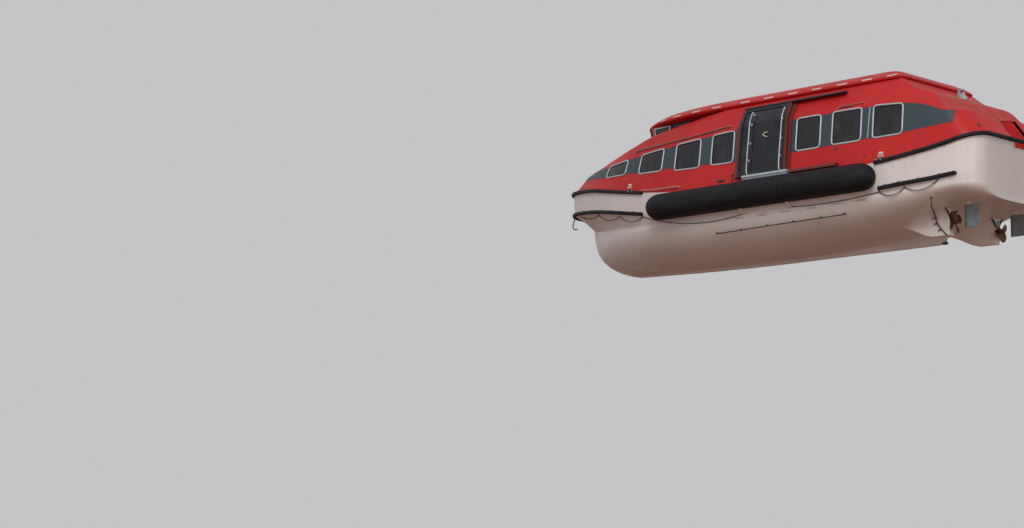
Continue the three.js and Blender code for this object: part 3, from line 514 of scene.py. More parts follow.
def on(side, patches):
    """Patches made for port, on the side named by 1 or -1."""
    return patches if side > 0 else [mirrored(patch) for patch in patches]


def both(patches):
    """Patches made for port, with their mirror images."""
    return [*patches, *on(-1, patches)]


def rounded(corners, radius, steps=4):
    """A closed outline whose corners are quadratic curves that start a radius away on each side."""
    corners = np.asarray(corners, float)
    ends = []
    for shift in (1, -1):
        away = np.roll(corners, shift, 0) - corners
        ends.append((corners + away / np.linalg.norm(away, axis=-1, keepdims=True) * radius)[:, None])
    t = np.linspace(0, 1, steps + 1)[None, :, None]
    curve = (1 - t) ** 2 * ends[0] + 2 * t * (1 - t) * corners[:, None] + t**2 * ends[1]
    return curve.reshape(-1, corners.shape[-1])


def dense(loop, spacing, closed=True):
    """Adds points along an outline's edges, so that none is longer than the spacing."""
    loop = np.asarray(loop, float)
    starts = loop if closed else loop[:-1]
    steps = (np.roll(loop, -1, 0) if closed else loop[1:]) - starts
    counts = np.maximum(1, np.ceil(np.linalg.norm(steps, axis=1) / spacing).astype(int))
    k = np.repeat(np.arange(len(starts)), counts)
    t = (np.arange(len(k)) - np.repeat(np.cumsum(counts) - counts, counts)) / counts[k]
    points = starts[k] + steps[k] * t[:, None]
    return points if closed else np.vstack([points, loop[-1:]])


def curve(points, count, closed=False):
    """A Catmull-Rom curve: each span is a cubic whose end slopes are half the step between neighbours."""
    points = np.asarray(points, float)
    n = len(points)
    u = np.linspace(0, n if closed else n - 1, count, endpoint=not closed)
    i = np.minimum(u.astype(int), n - 1 if closed else n - 2)
    t = (u - i)[:, None]
    pick = (lambda k: points[k % n]) if closed else (lambda k: points[np.clip(k, 0, n - 1)])
    a, b, c, d = pick(i - 1), pick(i), pick(i + 1), pick(i + 2)
    return b + t * (c - a) / 2 + t**2 * (a - 2.5 * b + 2 * c - d / 2) + t**3 * (1.5 * (b - c) + (d - a) / 2)


def circle(r, count):
    """A round profile, (r cos a, r sin a)."""
    angle = np.arange(count) / count * 2 * math.pi
    return np.stack([r * np.cos(angle), r * np.sin(angle)], -1)


def unit(vectors):
    """Vectors divided by their own lengths."""
    return vectors / np.maximum(np.linalg.norm(vectors, axis=-1, keepdims=True), 1e-12)


def sweep(path, profile, up=None, closed=False, size=None):
    """Carries a closed profile of (side, up) offsets along a path.

    Each frame is the path's tangent, the part of `up` square to it and their cross product. `size` scales the
    profile at each point of the path."""
    path = np.asarray(path, float)
    along = np.roll(path, -1, 0) - np.roll(path, 1, 0) if closed else np.gradient(path, axis=0)
    along = unit(along)
    if up is None:
        up = np.eye(3)[np.argmin(np.abs(along).max(0))]
    up = np.broadcast_to(up, path.shape)
    up = unit(up - (up * along).sum(-1, keepdims=True) * along)
    side = np.cross(along, up)
    profile = np.broadcast_to(profile, (len(path), *np.shape(profile)[-2:]))
    if size is not None:
        profile = profile * np.asarray(size)[:, None, None]
    points = path[:, None] + side[:, None] * profile[..., :1] + up[:, None] * profile[..., 1:]
    body = grid_patch(points, closed, True)
    return [body] if closed else [body, fan_patch(points[0]), fan_patch(points[-1])]


def tube(path, r, sides=10, closed=False):
    """A round rod along a path. Its open ends are domed in three small steps."""
    path = np.asarray(path, float)
    if closed:
        return sweep(path, circle(r, sides), closed=True)
    first, last = unit(path[0] - path[1]) * r, unit(path[-1] - path[-2]) * r
    lifts = np.array([0.95, 0.7, 0.35])[:, None]
    path = np.vstack([path[0] + first * lifts, path, path[-1] + last * lifts[::-1]])
    size = np.concatenate([[0.3, 0.72, 0.94], np.ones(len(path) - 6), [0.94, 0.72, 0.3]])
    return sweep(path, circle(r, sides), size=size)


def lathe(profile, at, axis=(0, 0, 1), sides=24):
    """Turns a profile of (radius, height) about an axis through a point."""
    axis = unit(np.asarray(axis, float))
    across = unit(np.cross(axis, np.eye(3)[np.argmin(np.abs(axis))]))
    profile, ring = np.asarray(profile, float), circle(1, sides)
    spokes = ring[:, :1] * across + ring[:, 1:] * np.cross(axis, across)
    points = np.asarray(at) + profile[:, None, 1:] * axis + profile[:, None, :1] * spokes
    return capped(points)


def block(low, high, corner=0.01, steps=2, top=1.0):
    """A box with rounded upright edges and eased rims: four rings of one outline, the upper two times top."""
    low, high = np.asarray(low, float), np.asarray(high, float)
    middle, half = (low + high) / 2, (high - low) / 2
    ease = min(corner * 0.5, half[2] * 0.4)
    heights = (low[2], low[2] + ease, high[2] - ease, high[2])
    rings = []
    for inset, z, share in zip((ease, 0, 0, ease), heights, (1, 1, top, top)):
        x, y = half[0] * share - inset, half[1] * share - inset
        flat = rounded(rectangle(-x, x, -y, y), min(corner, x * 0.9, y * 0.9), steps)
        rings.append(np.column_stack([flat + middle[:2], np.full(len(flat), z)]))
    return capped(rings)


def prism(outline, y0, y1):
    """A closed (x, z) outline carried across the boat from y0 to y1."""
    outline = np.asarray(outline, float)
    rings = np.array([plane(1, y)(*outline.T) for y in (y0, y1)])
    ends = [sheet(plane(1, y), outline, spacing=9.0, stretch=1.0) for y in (y0, y1)]
    return [grid_patch(rings, False, True), *ends]


# %% [markdown]
# ## Sheets with holes
# A skin with windows in it can't be one plain grid. So its outline and its holes are drawn flat, filled with
# triangles by a Delaunay routine that keeps every edge, and only then bent onto the surface.

# %% Sheets with holes
V_METRES = 1.3  # one step of v is about this far over the canopy


def inside(points, polygon):
    """Counts the polygon's edges that a ray from each point crosses; an odd count is inside."""
    x, y = points[:, :1], points[:, 1:]
    a, b = polygon, np.roll(polygon, -1, 0)
    spans = (a[:, 1] > y) != (b[:, 1] > y)
    slope = (b[:, 0] - a[:, 0]) / np.where(b[:, 1] == a[:, 1], 1, b[:, 1] - a[:, 1])
    return (np.sum(spans & (x < a[:, 0] + (y - a[:, 1]) * slope), 1) % 2).astype(bool)


def sheet(surface, outline, holes=(), spacing=0.1, stretch=V_METRES, rows=()):
    """Fills an outline less its holes with triangles over an even grid, then carries it onto a surface.

    Both are given in the surface's own two parameters, and `stretch` turns the second into metres. `rows` are
    more values of the second, for where the surface bends."""
    scale = np.array([1, stretch])
    loops = [dense(np.asarray(loop, float) * scale, spacing) for loop in (outline, *holes)]
    low, high = loops[0].min(0), loops[0].max(0)
    counts = np.maximum(2, np.ceil((high - low) / spacing).astype(int) + 1)
    ticks = [np.linspace(low[k], high[k], counts[k]) for k in (0, 1)]
    if len(rows):
        ticks[1] = np.concatenate([ticks[1], np.asarray(rows) * stretch])
    grid = np.stack(np.meshgrid(*ticks, indexing="ij"), -1).reshape(-1, 2)

    def within(points):
        return inside(points, loops[0]) & ~np.any([inside(points, hole) for hole in loops[1:]], 0)

    edge = np.vstack(loops)
    # Points in one cell of a slightly finer grid share a number, so none of the grid crowds the edge.
    near = [np.round(points / (spacing * 0.7)) @ (1, 1e5) for points in (grid, edge)]
    grid = grid[within(grid) & ~np.isin(*near)]
    links, start = [], 0
    for loop in loops:
        k = np.arange(len(loop))
        links += (start + np.stack([k, (k + 1) % len(loop)], -1)).tolist()
        start += len(loop)
    corners = [Vector(p) for p in np.vstack([edge, grid]).tolist()]
    made, _, faces, *_ = delaunay_2d_cdt(corners, links, [], 0, 1e-7)
    flat, faces = np.array([p[:] for p in made]), np.array([list(face) for face in faces])
    faces = faces[within(flat[faces].mean(1))]
    flat = flat / scale
    return surface(flat[:, 0], flat[:, 1]), faces[:, ::-1]


# %% [markdown]
# ## Pieces
# Every piece goes through one function, so all are merged, smoothed and put on their bodies the same way.
# Most stand on both sides of the boat: they are worked out for port, and a second function mirrors them.

# %% Pieces
MERGE = 1e-4  # points nearer than this, in metres, become one
BEVEL_ANGLE = math.radians(40)


def make_piece(name, patches, material, body="boat", slot=None, replaces=(), thick=0.0, bevel=0.0, sharp=35,
               keep_faces=False):
    """Joins patches into one mesh object. `thick` gives a sheet its wall inwards, `bevel` rounds its edges.

    A list of materials holds one for each patch; with `thick`, a list of two is outside and inside. Closed
    pieces have their faces turned out; a sheet, or one with keep_faces, comes with them right."""
    points = np.vstack([patch[0] for patch in patches])
    starts = np.cumsum([0] + [len(patch[0]) for patch in patches[:-1]])
    faces = [face for patch, start in zip(patches, starts) for face in (patch[1] + start).tolist()]
    mesh = bpy.data.meshes.new(name)
    mesh.from_pydata(points.tolist(), [], faces)
    several = isinstance(material, list)
    kinds = list(dict.fromkeys(material)) if several else [material]
    for kind in kinds:
        mesh.materials.append(kind)
    if several and not thick:
        index = np.concatenate([np.full(len(p[1]), kinds.index(m)) for p, m in zip(patches, material)])
        mesh.polygons.foreach_set("material_index", index.astype(np.int32))
    tidy = bmesh.new()
    tidy.from_mesh(mesh)
    bmesh.ops.remove_doubles(tidy, verts=tidy.verts, dist=MERGE)
    bmesh.ops.dissolve_degenerate(tidy, dist=MERGE / 2, edges=tidy.edges)
    if not (thick or keep_faces):
        bmesh.ops.recalc_face_normals(tidy, faces=tidy.faces)
    tidy.to_mesh(mesh)
    tidy.free()
    piece = bpy.data.objects.new(name, mesh)
    bpy.context.scene.collection.objects.link(piece)
    if thick:
        wall = piece.modifiers.new("wall", "SOLIDIFY")
        wall.thickness, wall.offset, wall.material_offset = thick, -1, int(several)
    if bevel:
        edges = piece.modifiers.new("edges", "BEVEL")
        edges.width, edges.segments, edges.angle_limit = bevel, 2, BEVEL_ANGLE
        edges.limit_method = "ANGLE"
    if piece.modifiers:
        graph = bpy.context.evaluated_depsgraph_get()
        piece.data = bpy.data.meshes.new_from_object(piece.evaluated_get(graph))
        piece.modifiers.clear()
        bpy.data.meshes.remove(mesh)
        piece.data.name = name
    piece.data.shade_smooth()
    piece.data.set_sharp_from_angle(angle=math.radians(sharp))
    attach(piece, body)
    if replaces:
        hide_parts(*replaces)
    print(name, len(piece.data.polygons), "faces")
    return piece


def make_pair(name, patches, material, body="boat", slot=None, replaces=(), **finish):
    """Makes a piece to port and its mirror image to starboard. SIDE in a name stands for either word."""
    for side, s in SIDES:
        own, rides, *nodes = (word.replace("SIDE", side) for word in (name, body, *replaces))
        make_piece(own, on(s, patches), material, rides, slot, nodes, **finish)


# %% [markdown]
# ## Hull
# The white hull is one moulding from keel to sheer. Its skin is the loft above on a fine grid, closed by a
# transom, and inside it has a liner, a sole to walk on and a deck at each end. Grids that face a known way
# need no guess about which side is out, so each patch is turned by where the middle of the boat is.

# %% Hull shell
RECESS_X, RECESS_HALF, RECESS_Z = -6.15, 0.4, 1.19
SOLE_Z = 0.25
LINER_ENDS = (-5.5, 5.3)
LINER_WALL, LINER_BOW_X, LINER_BOW_RUN = 0.1, 3.0, 0.7  # the wall is twice as thick towards the bow
HULL_MIDDLE = (0, 0, 0.6)


def facing(patches, centre, sign=1):
    """Turns each patch so that its faces look away from a point, or towards it where sign is -1."""
    done = []
    for points, faces in patches:
        a, b, c = (points[faces[:, k]] for k in range(3))
        out = (np.cross(b - a, c - a) * (a - np.asarray(centre))).sum() * sign
        done.append((points, faces if out > 0 else faces[:, ::-1]))
    return done


def stern_arc(count):
    """Stations that are evenly spaced round the stern's corner: x = stern + r (1 - cos angle)."""
    return STERN_X + STERN_CORNER_R * (1 - np.cos(np.linspace(0, math.pi / 2, count)))


HULL_X = np.concatenate([stern_arc(22)[:-1], np.linspace(-6.6, 5.2, 170), np.linspace(5.2, BOW_X, 90)[1:]])
HULL_V = np.concatenate([np.linspace(0, 1, 49)[:-1], np.linspace(1, 2, 9)[:-1], np.linspace(2, 3, 17)])


def end_cap(x, v, shares):
    """The flat end of the hull: points of one section, each share of the way out from the centreline."""
    edge = hull_point(np.full_like(v, x), v)
    return grid_patch(np.stack([np.array([1, s, 1]) * edge for s in shares]))


def hull_patches():
    """The skin on both sides, a flat end at the bow and a transom cut down to the foot of the recess."""
    skin = both([grid_patch(hull_point(HULL_X[:, None], HULL_V[None, :]))])
    strake_z, sheer_z = (float(HULL[name](STERN_X)) for name in ("strakeZ", "sheerZ"))
    step_v = 2 + (RECESS_Z - strake_z) / (sheer_z - strake_z)
    low_v = np.concatenate([HULL_V[HULL_V < step_v], [step_v]])
    edge = hull_point(np.full(4, STERN_X), np.linspace(step_v, 3, 4))
    side = ruled(edge * (1, 0, 1) + (0, RECESS_HALF, 0), edge, 9)
    ends = [end_cap(STERN_X, low_v, np.linspace(-1, 1, 33)), side, mirrored(side),
            end_cap(BOW_X, HULL_V, np.linspace(-1, 1, 5))]
    return facing([*skin, *ends], HULL_MIDDLE)


def deck_patches():
    """Decks at the ends at sheer height, with a step down in the stern's recess, and the liner between."""
    patches = []
    for x0, x1 in ((STERN_X, LINER_ENDS[0]), (LINER_ENDS[1], BOW_X - 0.01)):
        x = np.linspace(x0, x1, 30)
        rim = hull_point(x, 3.0)
        inner = rim * (1, 0, 1) + (0, 1, 0) * np.minimum(RECESS_HALF, rim[:, 1:2] * 0.9)
        patches += both([grid_patch(np.stack([inner, rim]))])
        lowered = inner.copy()
        if x0 < 0:
            lowered[:, 2] = np.where(x < RECESS_X + 0.03, np.minimum(RECESS_Z, inner[:, 2]), inner[:, 2])
            patches += both([grid_patch(np.stack([lowered, inner]))])
        patches.append(grid_patch(np.stack([lowered * (1, -1, 1), lowered])))
    x = np.linspace(*LINER_ENDS, 90)
    wall = LINER_WALL * (1 + np.clip((x - LINER_BOW_X) / LINER_BOW_RUN, 0, 1))
    rows = [np.stack([x, np.zeros_like(x), np.full_like(x, SOLE_Z)], -1)]
    for z in (np.full_like(x, SOLE_Z), np.full_like(x, SOLE_Z + 0.25), HULL["sheerZ"](x) - 0.002):
        rows.append(np.stack([x, hull_point(x, hull_side(x, z))[..., 1] - wall, z], -1))
    liner = np.stack([*rows, hull_point(x, 3.0)])
    patches += both([grid_patch(liner)])
    for end in (0, -1):
        half = liner[1:4, end]
        patches.append(grid_patch(np.stack([half * (1, -1, 1), half])))
    return facing(patches, (0, 0, 40), -1)


outer, inner = hull_patches(), deck_patches()
make_piece("hull_shell", [*outer, *inner], [HULL_WHITE] * len(outer) + [LINING_PALE] * len(inner),
           slot="hull_white", replaces=("hull",), keep_faces=True)

# %% [markdown]
# ## Keel and skegs
# A bar keel runs along the bottom, and a skeg stands over each shaft to guard its propeller. Both are moulded
# with the hull, so a hollow fillet fairs them into it. Each section is a row of points: fillet, side, corner.


# %% Keel
def fin_patches(x, y, half, foot, fairing, corner):
    """A fin below the hull. Across it run a quadratic fillet, a straight side and a rounded corner, mirrored.

    The side's top and the fillet's ends follow the hull's bottom at each station."""
    x, half, foot = np.broadcast_arrays(x, half, foot)
    t = np.linspace(0, 1, 7)
    sides = []
    for s in (1, -1):
        outer_y = y + s * (half + fairing)
        wall_y = y + s * half
        top = hull_height(x, wall_y)
        start = np.stack([outer_y, hull_height(x, outer_y) + 0.004], -1)
        bend = np.stack([wall_y, top], -1)
        end = np.stack([wall_y, np.maximum(foot + corner, top - fairing)], -1)
        a, b, c = start[:, None], bend[:, None], end[:, None]
        tt = t[None, :, None]
        fillet = (1 - tt) ** 2 * a + 2 * tt * (1 - tt) * b + tt**2 * c
        low = np.stack([wall_y, foot + corner], -1)[:, None]
        drop = end[:, None] + (low - end[:, None]) * np.array([0.33, 0.66])[None, :, None]
        angle = np.linspace(0, math.pi / 2, 5)[None, :]
        turn = np.stack([
            wall_y[:, None] - s * corner * (1 - np.cos(angle)),
            foot[:, None] + corner * (1 - np.sin(angle)),
        ], -1)
        sides.append(np.concatenate([fillet, drop, turn], 1))
    section = np.concatenate([sides[0], sides[1][:, ::-1]], 1)
    points = np.concatenate([np.broadcast_to(x[:, None, None], (*section.shape[:2], 1)), section], -1)
    return [grid_patch(points), fan_patch(points[0]), fan_patch(points[-1])]


def profile_line(points):
    """Straight lines through (x, z) points, as a function of x."""
    xs, zs = np.array(sorted(points)).T
    return lambda x: np.interp(x, xs, zs)


KEEL_HALF, KEEL_FAIRING, KEEL_CORNER = 0.065, 0.09, 0.02
keel_foot = profile_line([(-4.9, -0.80), (-4.84, -0.865), (-4.75, -0.895), (-4.6, -0.905), (1.2, -0.905),
                          (3.0, -0.87), (5.15, -0.80), (5.35, -0.74), (5.5, -0.70)])
keel_x = np.concatenate([np.linspace(-4.9, -4.6, 12), np.linspace(-4.5, 5.5, 90)])
keel = fin_patches(keel_x, 0.0, KEEL_HALF, keel_foot(keel_x), KEEL_FAIRING, KEEL_CORNER)
make_piece("keel", keel, HULL_WHITE, slot="hull_white")

stem_x = np.concatenate([np.linspace(4.9, 6.5, 30), np.linspace(6.52, 6.72, 24)])
stem = np.stack([stem_x, 0 * stem_x, HULL["bottomZ"](stem_x)], -1)
stem_profile = rounded([[-0.04, -0.03], [0.04, -0.03], [0.028, 0.03], [-0.028, 0.03]], 0.016, 3)
make_piece("stem_band", sweep(stem, stem_profile, (0.6, 0, -0.8)), HULL_WHITE, slot="hull_white")

# %% Skegs
SKEG_Y, SKEG_HALF, SKEG_NOSE_HALF = 1.03, 0.09, 0.03
SKEG_END, SKEG_START, SKEG_TAPER = -5.74, -3.95, 0.9
SKEG_FAIRING, SKEG_CORNER = 0.2, 0.03
SHAFT_Z = -0.56
skeg_foot = profile_line([(-3.9, -0.32), (-4.2, -0.5), (-4.41, -0.56), (-4.73, -0.69), (-5.05, -0.84),
                          (-5.22, -0.88), (-5.74, -0.88)])
skeg_x = np.linspace(SKEG_END, SKEG_START, 60)
skeg_half = SKEG_NOSE_HALF + (SKEG_HALF - SKEG_NOSE_HALF) * smooth_step((SKEG_START - skeg_x) / SKEG_TAPER)
foot = np.convolve(np.pad(skeg_foot(skeg_x), 2, mode="edge"), np.ones(5) / 5, "valid")
skeg = fin_patches(skeg_x, SKEG_Y, skeg_half, foot, SKEG_FAIRING, SKEG_CORNER)
boss = [(0, -0.34), (0.05, -0.3), (0.085, -0.2), (0.1, -0.06), (0.1, 0.0), (0.095, 0.012), (0, 0.012)]
skeg += lathe(boss, (SKEG_END, SKEG_Y, SHAFT_Z), (-1, 0, 0), 32)
make_pair("skeg_SIDE", skeg, HULL_WHITE, slot="hull_white")

# %% [markdown]
# ## Propellers and rudders
# Each shaft turns a four-bladed bronze propeller, with a rudder behind it. A blade is a twisted foil: at each
# radius its chord turns by the angle whose tangent is pitch over the circle's length. Whole blades come from
# one grid of radius by place round the foil.

# %% Bronze
def make_metal(name, colour, dark, roughness, metallic, grain=(1, 1, 1), scale=18):
    """Metal or paint with patches of tarnish and a fine grain in its gloss."""
    tree = Tree(name)
    patches = tree.ramp(tree.noise(scale * 0.3, 5), (0.38, 0.0), (0.72, 1.0))
    tree.link(tree.mix(patches, colour, dark), "Base Color")
    gloss = tree.ramp(tree.noise(scale, 4, grain), (0.3, roughness - 0.08), (0.75, roughness + 0.15))
    tree.link(gloss, "Roughness")
    tree.set(Metallic=metallic)
    tree.bump(tree.noise(scale * 4, 3, grain), 0.15, 0.002)
    return tree.material


BRONZE = make_metal("dark_bronze", (0.20, 0.10, 0.06), (0.075, 0.04, 0.035), 0.42, 0.85)
GEAR_GREY = make_metal("gear_grey", (0.20, 0.25, 0.28), (0.14, 0.17, 0.19), 0.45, 0.1)
RAIL_PALE = make_metal("rail_pale", (0.47, 0.55, 0.58), (0.36, 0.43, 0.46), 0.34, 0.35, (1, 1, 0.1))
STEEL = make_metal("hook_steel", (0.52, 0.53, 0.54), (0.36, 0.37, 0.38), 0.32, 0.9)
DOOR_BLACK = make_metal("door_black", (0.008, 0.010, 0.014), (0.014, 0.017, 0.021), 0.45, 0.0)
DARK_IRON = make_metal("dark_iron", (0.05, 0.05, 0.055), (0.09, 0.07, 0.06), 0.55, 0.4)
# The canopy's red as it looks in shadow: this dark red is painted shade, used on the door's leaf and jambs,
# the ledge, the strip under each gutter and two pads.
PAINTED_SHADE_RED = make_metal("painted_shade_red", (0.15, 0.020, 0.018), (0.10, 0.018, 0.016), 0.5, 0.0)

# %% Propellers
PROPELLER_X0, HUB_R, HUB_LENGTH = -5.7404, 0.062, 0.205
BLADE_FOOT_R, BLADE_R, PITCH = 0.035, 0.293, 0.42


def blade_patch(turn, hand):
    """One blade, r from hub to tip, round a thin lens section.

    Chord c(r) follows a half ellipse, thickness falls off to the tip, and the leading edge rakes back."""
    r = np.concatenate([np.linspace(BLADE_FOOT_R, 0.27, 16), [0.281, 0.289, BLADE_R]])[:, None]
    share = (r - BLADE_FOOT_R) / (BLADE_R - BLADE_FOOT_R)
    chord = 0.05 + 0.19 * np.sqrt(np.clip(1 - (2 * (share - 0.58)) ** 2 / 1.45, 0, 1))
    chord = chord * np.sqrt(np.clip(1 - np.clip((share - 0.72) / 0.285, 0, 1) ** 2.4, 0.001, 1))
    loop = np.linspace(0, 2 * math.pi, 28, endpoint=False)[None, :]
    along, thick = np.cos(loop) * 0.5, np.sin(loop) * 0.5
    depth = (0.026 * (1 - share) + 0.006) * (1 - 0.6 * along)
    pitch = np.arctan2(PITCH, 2 * math.pi * np.maximum(r, 0.05))
    a, b = along * chord + 0.012 * share, thick * depth
    round_it = (a * np.cos(pitch) - b * np.sin(pitch)) / np.maximum(r, 0.05) * hand + turn
    x = PROPELLER_X0 - HUB_LENGTH * 0.45 + a * np.sin(pitch) + b * np.cos(pitch) - 0.02 * share
    return capped(np.stack([x, r * np.sin(round_it), r * np.cos(round_it)], -1))


for side, s in SIDES:
    shaft = np.array((0, s * SKEG_Y, SHAFT_Z))
    blades = [patch for k in range(4) for patch in blade_patch(k * math.pi / 2 + 0.5, s)]
    hub = [(0, 0), (HUB_R * 0.96, 0), (HUB_R, 0.01), (HUB_R, 0.13), (0.052, 0.15), (0.04, 0.155),
           (0.038, 0.185), (0.022, 0.2), (0, HUB_LENGTH)]
    parts = [(points + shaft, faces) for points, faces in blades]
    parts += lathe(hub, shaft + (PROPELLER_X0, 0, 0), (-1, 0, 0), 28)
    make_piece(f"bronze_propeller_{side}", parts, BRONZE, f"{side}_propeller", "propeller_bronze",
               (f"propeller_{side}",))

# %% Rudders
RUDDER_FORE_X, RUDDER_CHORD, RUDDER_STOCK_X = -6.14, 0.4, -6.24
RUDDER_LEVELS = (-0.735, -0.731, -0.715, -0.5, -0.3, -0.215, -0.199, -0.195)
RUDDER_SHARES = (0.93, 0.98, 1, 1, 1, 1, 0.98, 0.93)  # the foil is a little smaller at its foot and head


def foil(count=26):
    """A closed foil outline of (share of chord, half thickness share), round in front and thin behind."""
    angle = np.linspace(0, 2 * math.pi, count, endpoint=False)
    share = (1 - np.cos(angle)) / 2
    half = 1.9 * np.sqrt(share) * (1 - share) ** 1.1 + 0.16 * share * (1 - share)
    return share, np.sign(np.sin(angle)) * half


share, thick = foil()
ease = np.array(RUDDER_SHARES)[:, None]
middle = RUDDER_FORE_X - RUDDER_CHORD / 2
x = middle + ((RUDDER_FORE_X - RUDDER_CHORD * share)[None, :] - middle) * ease
y = SKEG_Y + 0.028 * thick[None, :] * ease
blade = capped(np.stack([x, y, np.broadcast_to(np.array(RUDDER_LEVELS)[:, None], x.shape)], -1))
stock = [(0, -0.3), (0.03, -0.3), (0.03, -0.1704), (0, -0.1704)]
blade += lathe(stock, (RUDDER_STOCK_X, SKEG_Y, 0), sides=20)
edge = np.linspace((RUDDER_FORE_X + 0.003, SKEG_Y, -0.73), (RUDDER_FORE_X + 0.003, SKEG_Y, -0.2), 12)
trim = tube(edge, 0.013, 8)
make_pair("rudder_blade_SIDE", blade + trim, [GEAR_GREY] * len(blade) + [DARK_IRON] * len(trim),
          "SIDE_rudder", "gear_grey", ("rudder_SIDE",))
pad = [(0, -0.169), (0.07, -0.169), (0.085, -0.155), (0.085, 0.05), (0, 0.05)]
make_pair("rudder_pad_SIDE", lathe(pad, (RUDDER_STOCK_X, SKEG_Y, 0)), HULL_WHITE, slot="hull_white")

# %% [markdown]
# ## Fenders and strakes
# Black foam fenders take the shock when the boat comes alongside, and rubber strakes run round bow and
# stern. A fender is a round bolster whose back is pressed flat on the hull: the circle's points that
# would fall inside are moved out to the skin. A strake is one small profile swept along a line of the hull.

# %% Rubber
def make_rubber(name, colour, dusty, roughness):
    """Foam skin: fine pores, and scuffs of paler dust that run along the side."""
    tree = Tree(name)
    scuffs = tree.ramp(tree.noise(5, 6, (0.35, 1, 2.2)), (0.48, 0.0), (0.72, 1.0))
    base = tree.mix(tree.math("MULTIPLY", scuffs, 0.5), colour, dusty)
    tree.link(base, "Base Color")
    tree.link(tree.ramp(tree.noise(11, 4), (0.3, roughness - 0.1), (0.8, roughness + 0.12)), "Roughness")
    tree.set(Specular_IOR_Level=0.2)
    tree.bump(tree.math("ADD", tree.noise(160, 2), tree.math("MULTIPLY", tree.noise(3, 3), 2.5)), 0.35, 0.004)
    return tree.material


FENDER_BLACK = make_rubber("fender_black", (0.009, 0.010, 0.013), (0.028, 0.030, 0.034), 0.62)
STRAKE_BLACK = make_rubber("strake_black", (0.011, 0.012, 0.014), (0.032, 0.034, 0.037), 0.55)

# %% Fenders
FENDER_R, FENDER_Y, FENDER_Z = 0.35, 2.34, 0.605
FENDER_NOSE, FENDER_DROP = 0.4, 0.3  # length of a rounded end, and how far the radius falls over it
FENDER_EDGE = 0.03
FENDER_PANEL, SEAM_DEPTH, SEAM_HALF = 0.72, 0.006, 0.012
FENDER_SPANS = (("fore", 2.81, -0.275, True, False), ("middle", -0.285, -1.685, False, False),
                ("aft", -1.695, -4.38, False, True))


def fender_patches(fore_x, aft_x, round_fore, round_aft):
    """A bolster along x: its radius follows a quarter ellipse at each end, and its back is laid on the hull.

    Seams are dips of the radius, each a bell curve exp(-u^2) in the middle of a panel's length."""
    quarter = np.linspace(0, math.pi / 2, 10)
    aft, fore = (FENDER_NOSE if is_round else FENDER_EDGE for is_round in (round_aft, round_fore))
    x = np.concatenate([
        aft_x + aft * (1 - np.cos(quarter)),
        np.linspace(aft_x + aft, fore_x - fore, 42)[1:-1],
        fore_x - fore * (1 - np.cos(quarter))[::-1],
    ])
    slope = FENDER_DROP / FENDER_NOSE
    r = np.concatenate([
        FENDER_R - aft * slope * (1 - np.sin(quarter)),
        np.full(40, FENDER_R),
        FENDER_R - fore * slope * (1 - np.sin(quarter))[::-1],
    ])
    seam = SEAM_DEPTH * np.exp(-(((x - aft_x) % FENDER_PANEL - FENDER_PANEL / 2) / SEAM_HALF) ** 2)
    angle = np.linspace(0, 2 * math.pi, 56, endpoint=False)[None, :]
    r = (r - seam)[:, None]
    y, z = FENDER_Y + r * np.cos(angle), FENDER_Z + r * np.sin(angle)
    xs = np.broadcast_to(x[:, None], y.shape)
    return capped(np.stack([xs, np.maximum(y, hull_at(xs, z)[..., 1] - 0.03), z], -1))


for name, *span in FENDER_SPANS:
    make_pair(f"foam_fender_{name}_SIDE", fender_patches(*span), FENDER_BLACK, slot="fender_black",
              replaces=(f"fender_{name}_SIDE",))

# %% Strakes
STRAKE_PROFILE = rounded([[-0.05, -0.006], [0.05, -0.006], [0.05, 0.052], [0.026, 0.07], [-0.026, 0.07],
                          [-0.05, 0.052]], 0.012, 3)


def strake(path):
    """The rubber profile along a line of the hull, standing level outwards.

    Its last 50 mm close by a square root of a parabola to a blunt round end."""
    out = unit(np.cross(np.gradient(path, axis=0) * (1, 1, 0), (0, 0, 1)))
    along = np.concatenate([[0], np.cumsum(np.linalg.norm(np.diff(path, axis=0), axis=1))])
    from_end = np.minimum(along, along[-1] - along)
    size = 0.45 + 0.55 * np.sqrt(1 - np.clip(1 - from_end / 0.05, 0, 1) ** 2)
    return sweep(path, STRAKE_PROFILE, out if out[0, 1] > 0 else -out, size=size)


bow_x = np.concatenate([np.linspace(3.4, 6.4, 64), np.linspace(6.45, 7.0, 30), np.linspace(7.01, BOW_X, 8)])
stern_x = np.concatenate([np.linspace(-4.6, -6.6, 44)[:-1], stern_arc(20)[::-1]])
for node, start, x, v in (("upper_strake_fore", 3.18, bow_x, 3.0), ("lower_strake_fore", 3.25, bow_x, 2.0),
                          ("upper_strake_aft", -4.32, stern_x, 3.0)):
    port = hull_point(np.concatenate([np.linspace(start, x[0], 12)[:-1], x]), v)
    path = np.vstack([port, (port * (1, -1, 1))[::-1]])
    make_piece(f"rubber_{node}", strake(path), STRAKE_BLACK, slot="fender_black", replaces=(node,))
path = hull_point(np.concatenate([np.linspace(-4.4, -4.6, 8)[:-1], np.linspace(-4.6, -6.69, 44)]), 2.0)
make_pair("rubber_lower_strake_aft_SIDE", strake(path), STRAKE_BLACK, slot="fender_black",
          replaces=("lower_strake_aft_SIDE",))

# %% [markdown]
# ## Canopy
# The red canopy is a thin moulding over the whole boat, with holes for windows, doors, hatch and helm. Its
# skin is the second loft: triangles are laid in the loft's own two parameters, less the holes, and carried
# onto the surface, so every opening has a clean edge. A Solidify modifier then adds the 60 mm wall inwards.

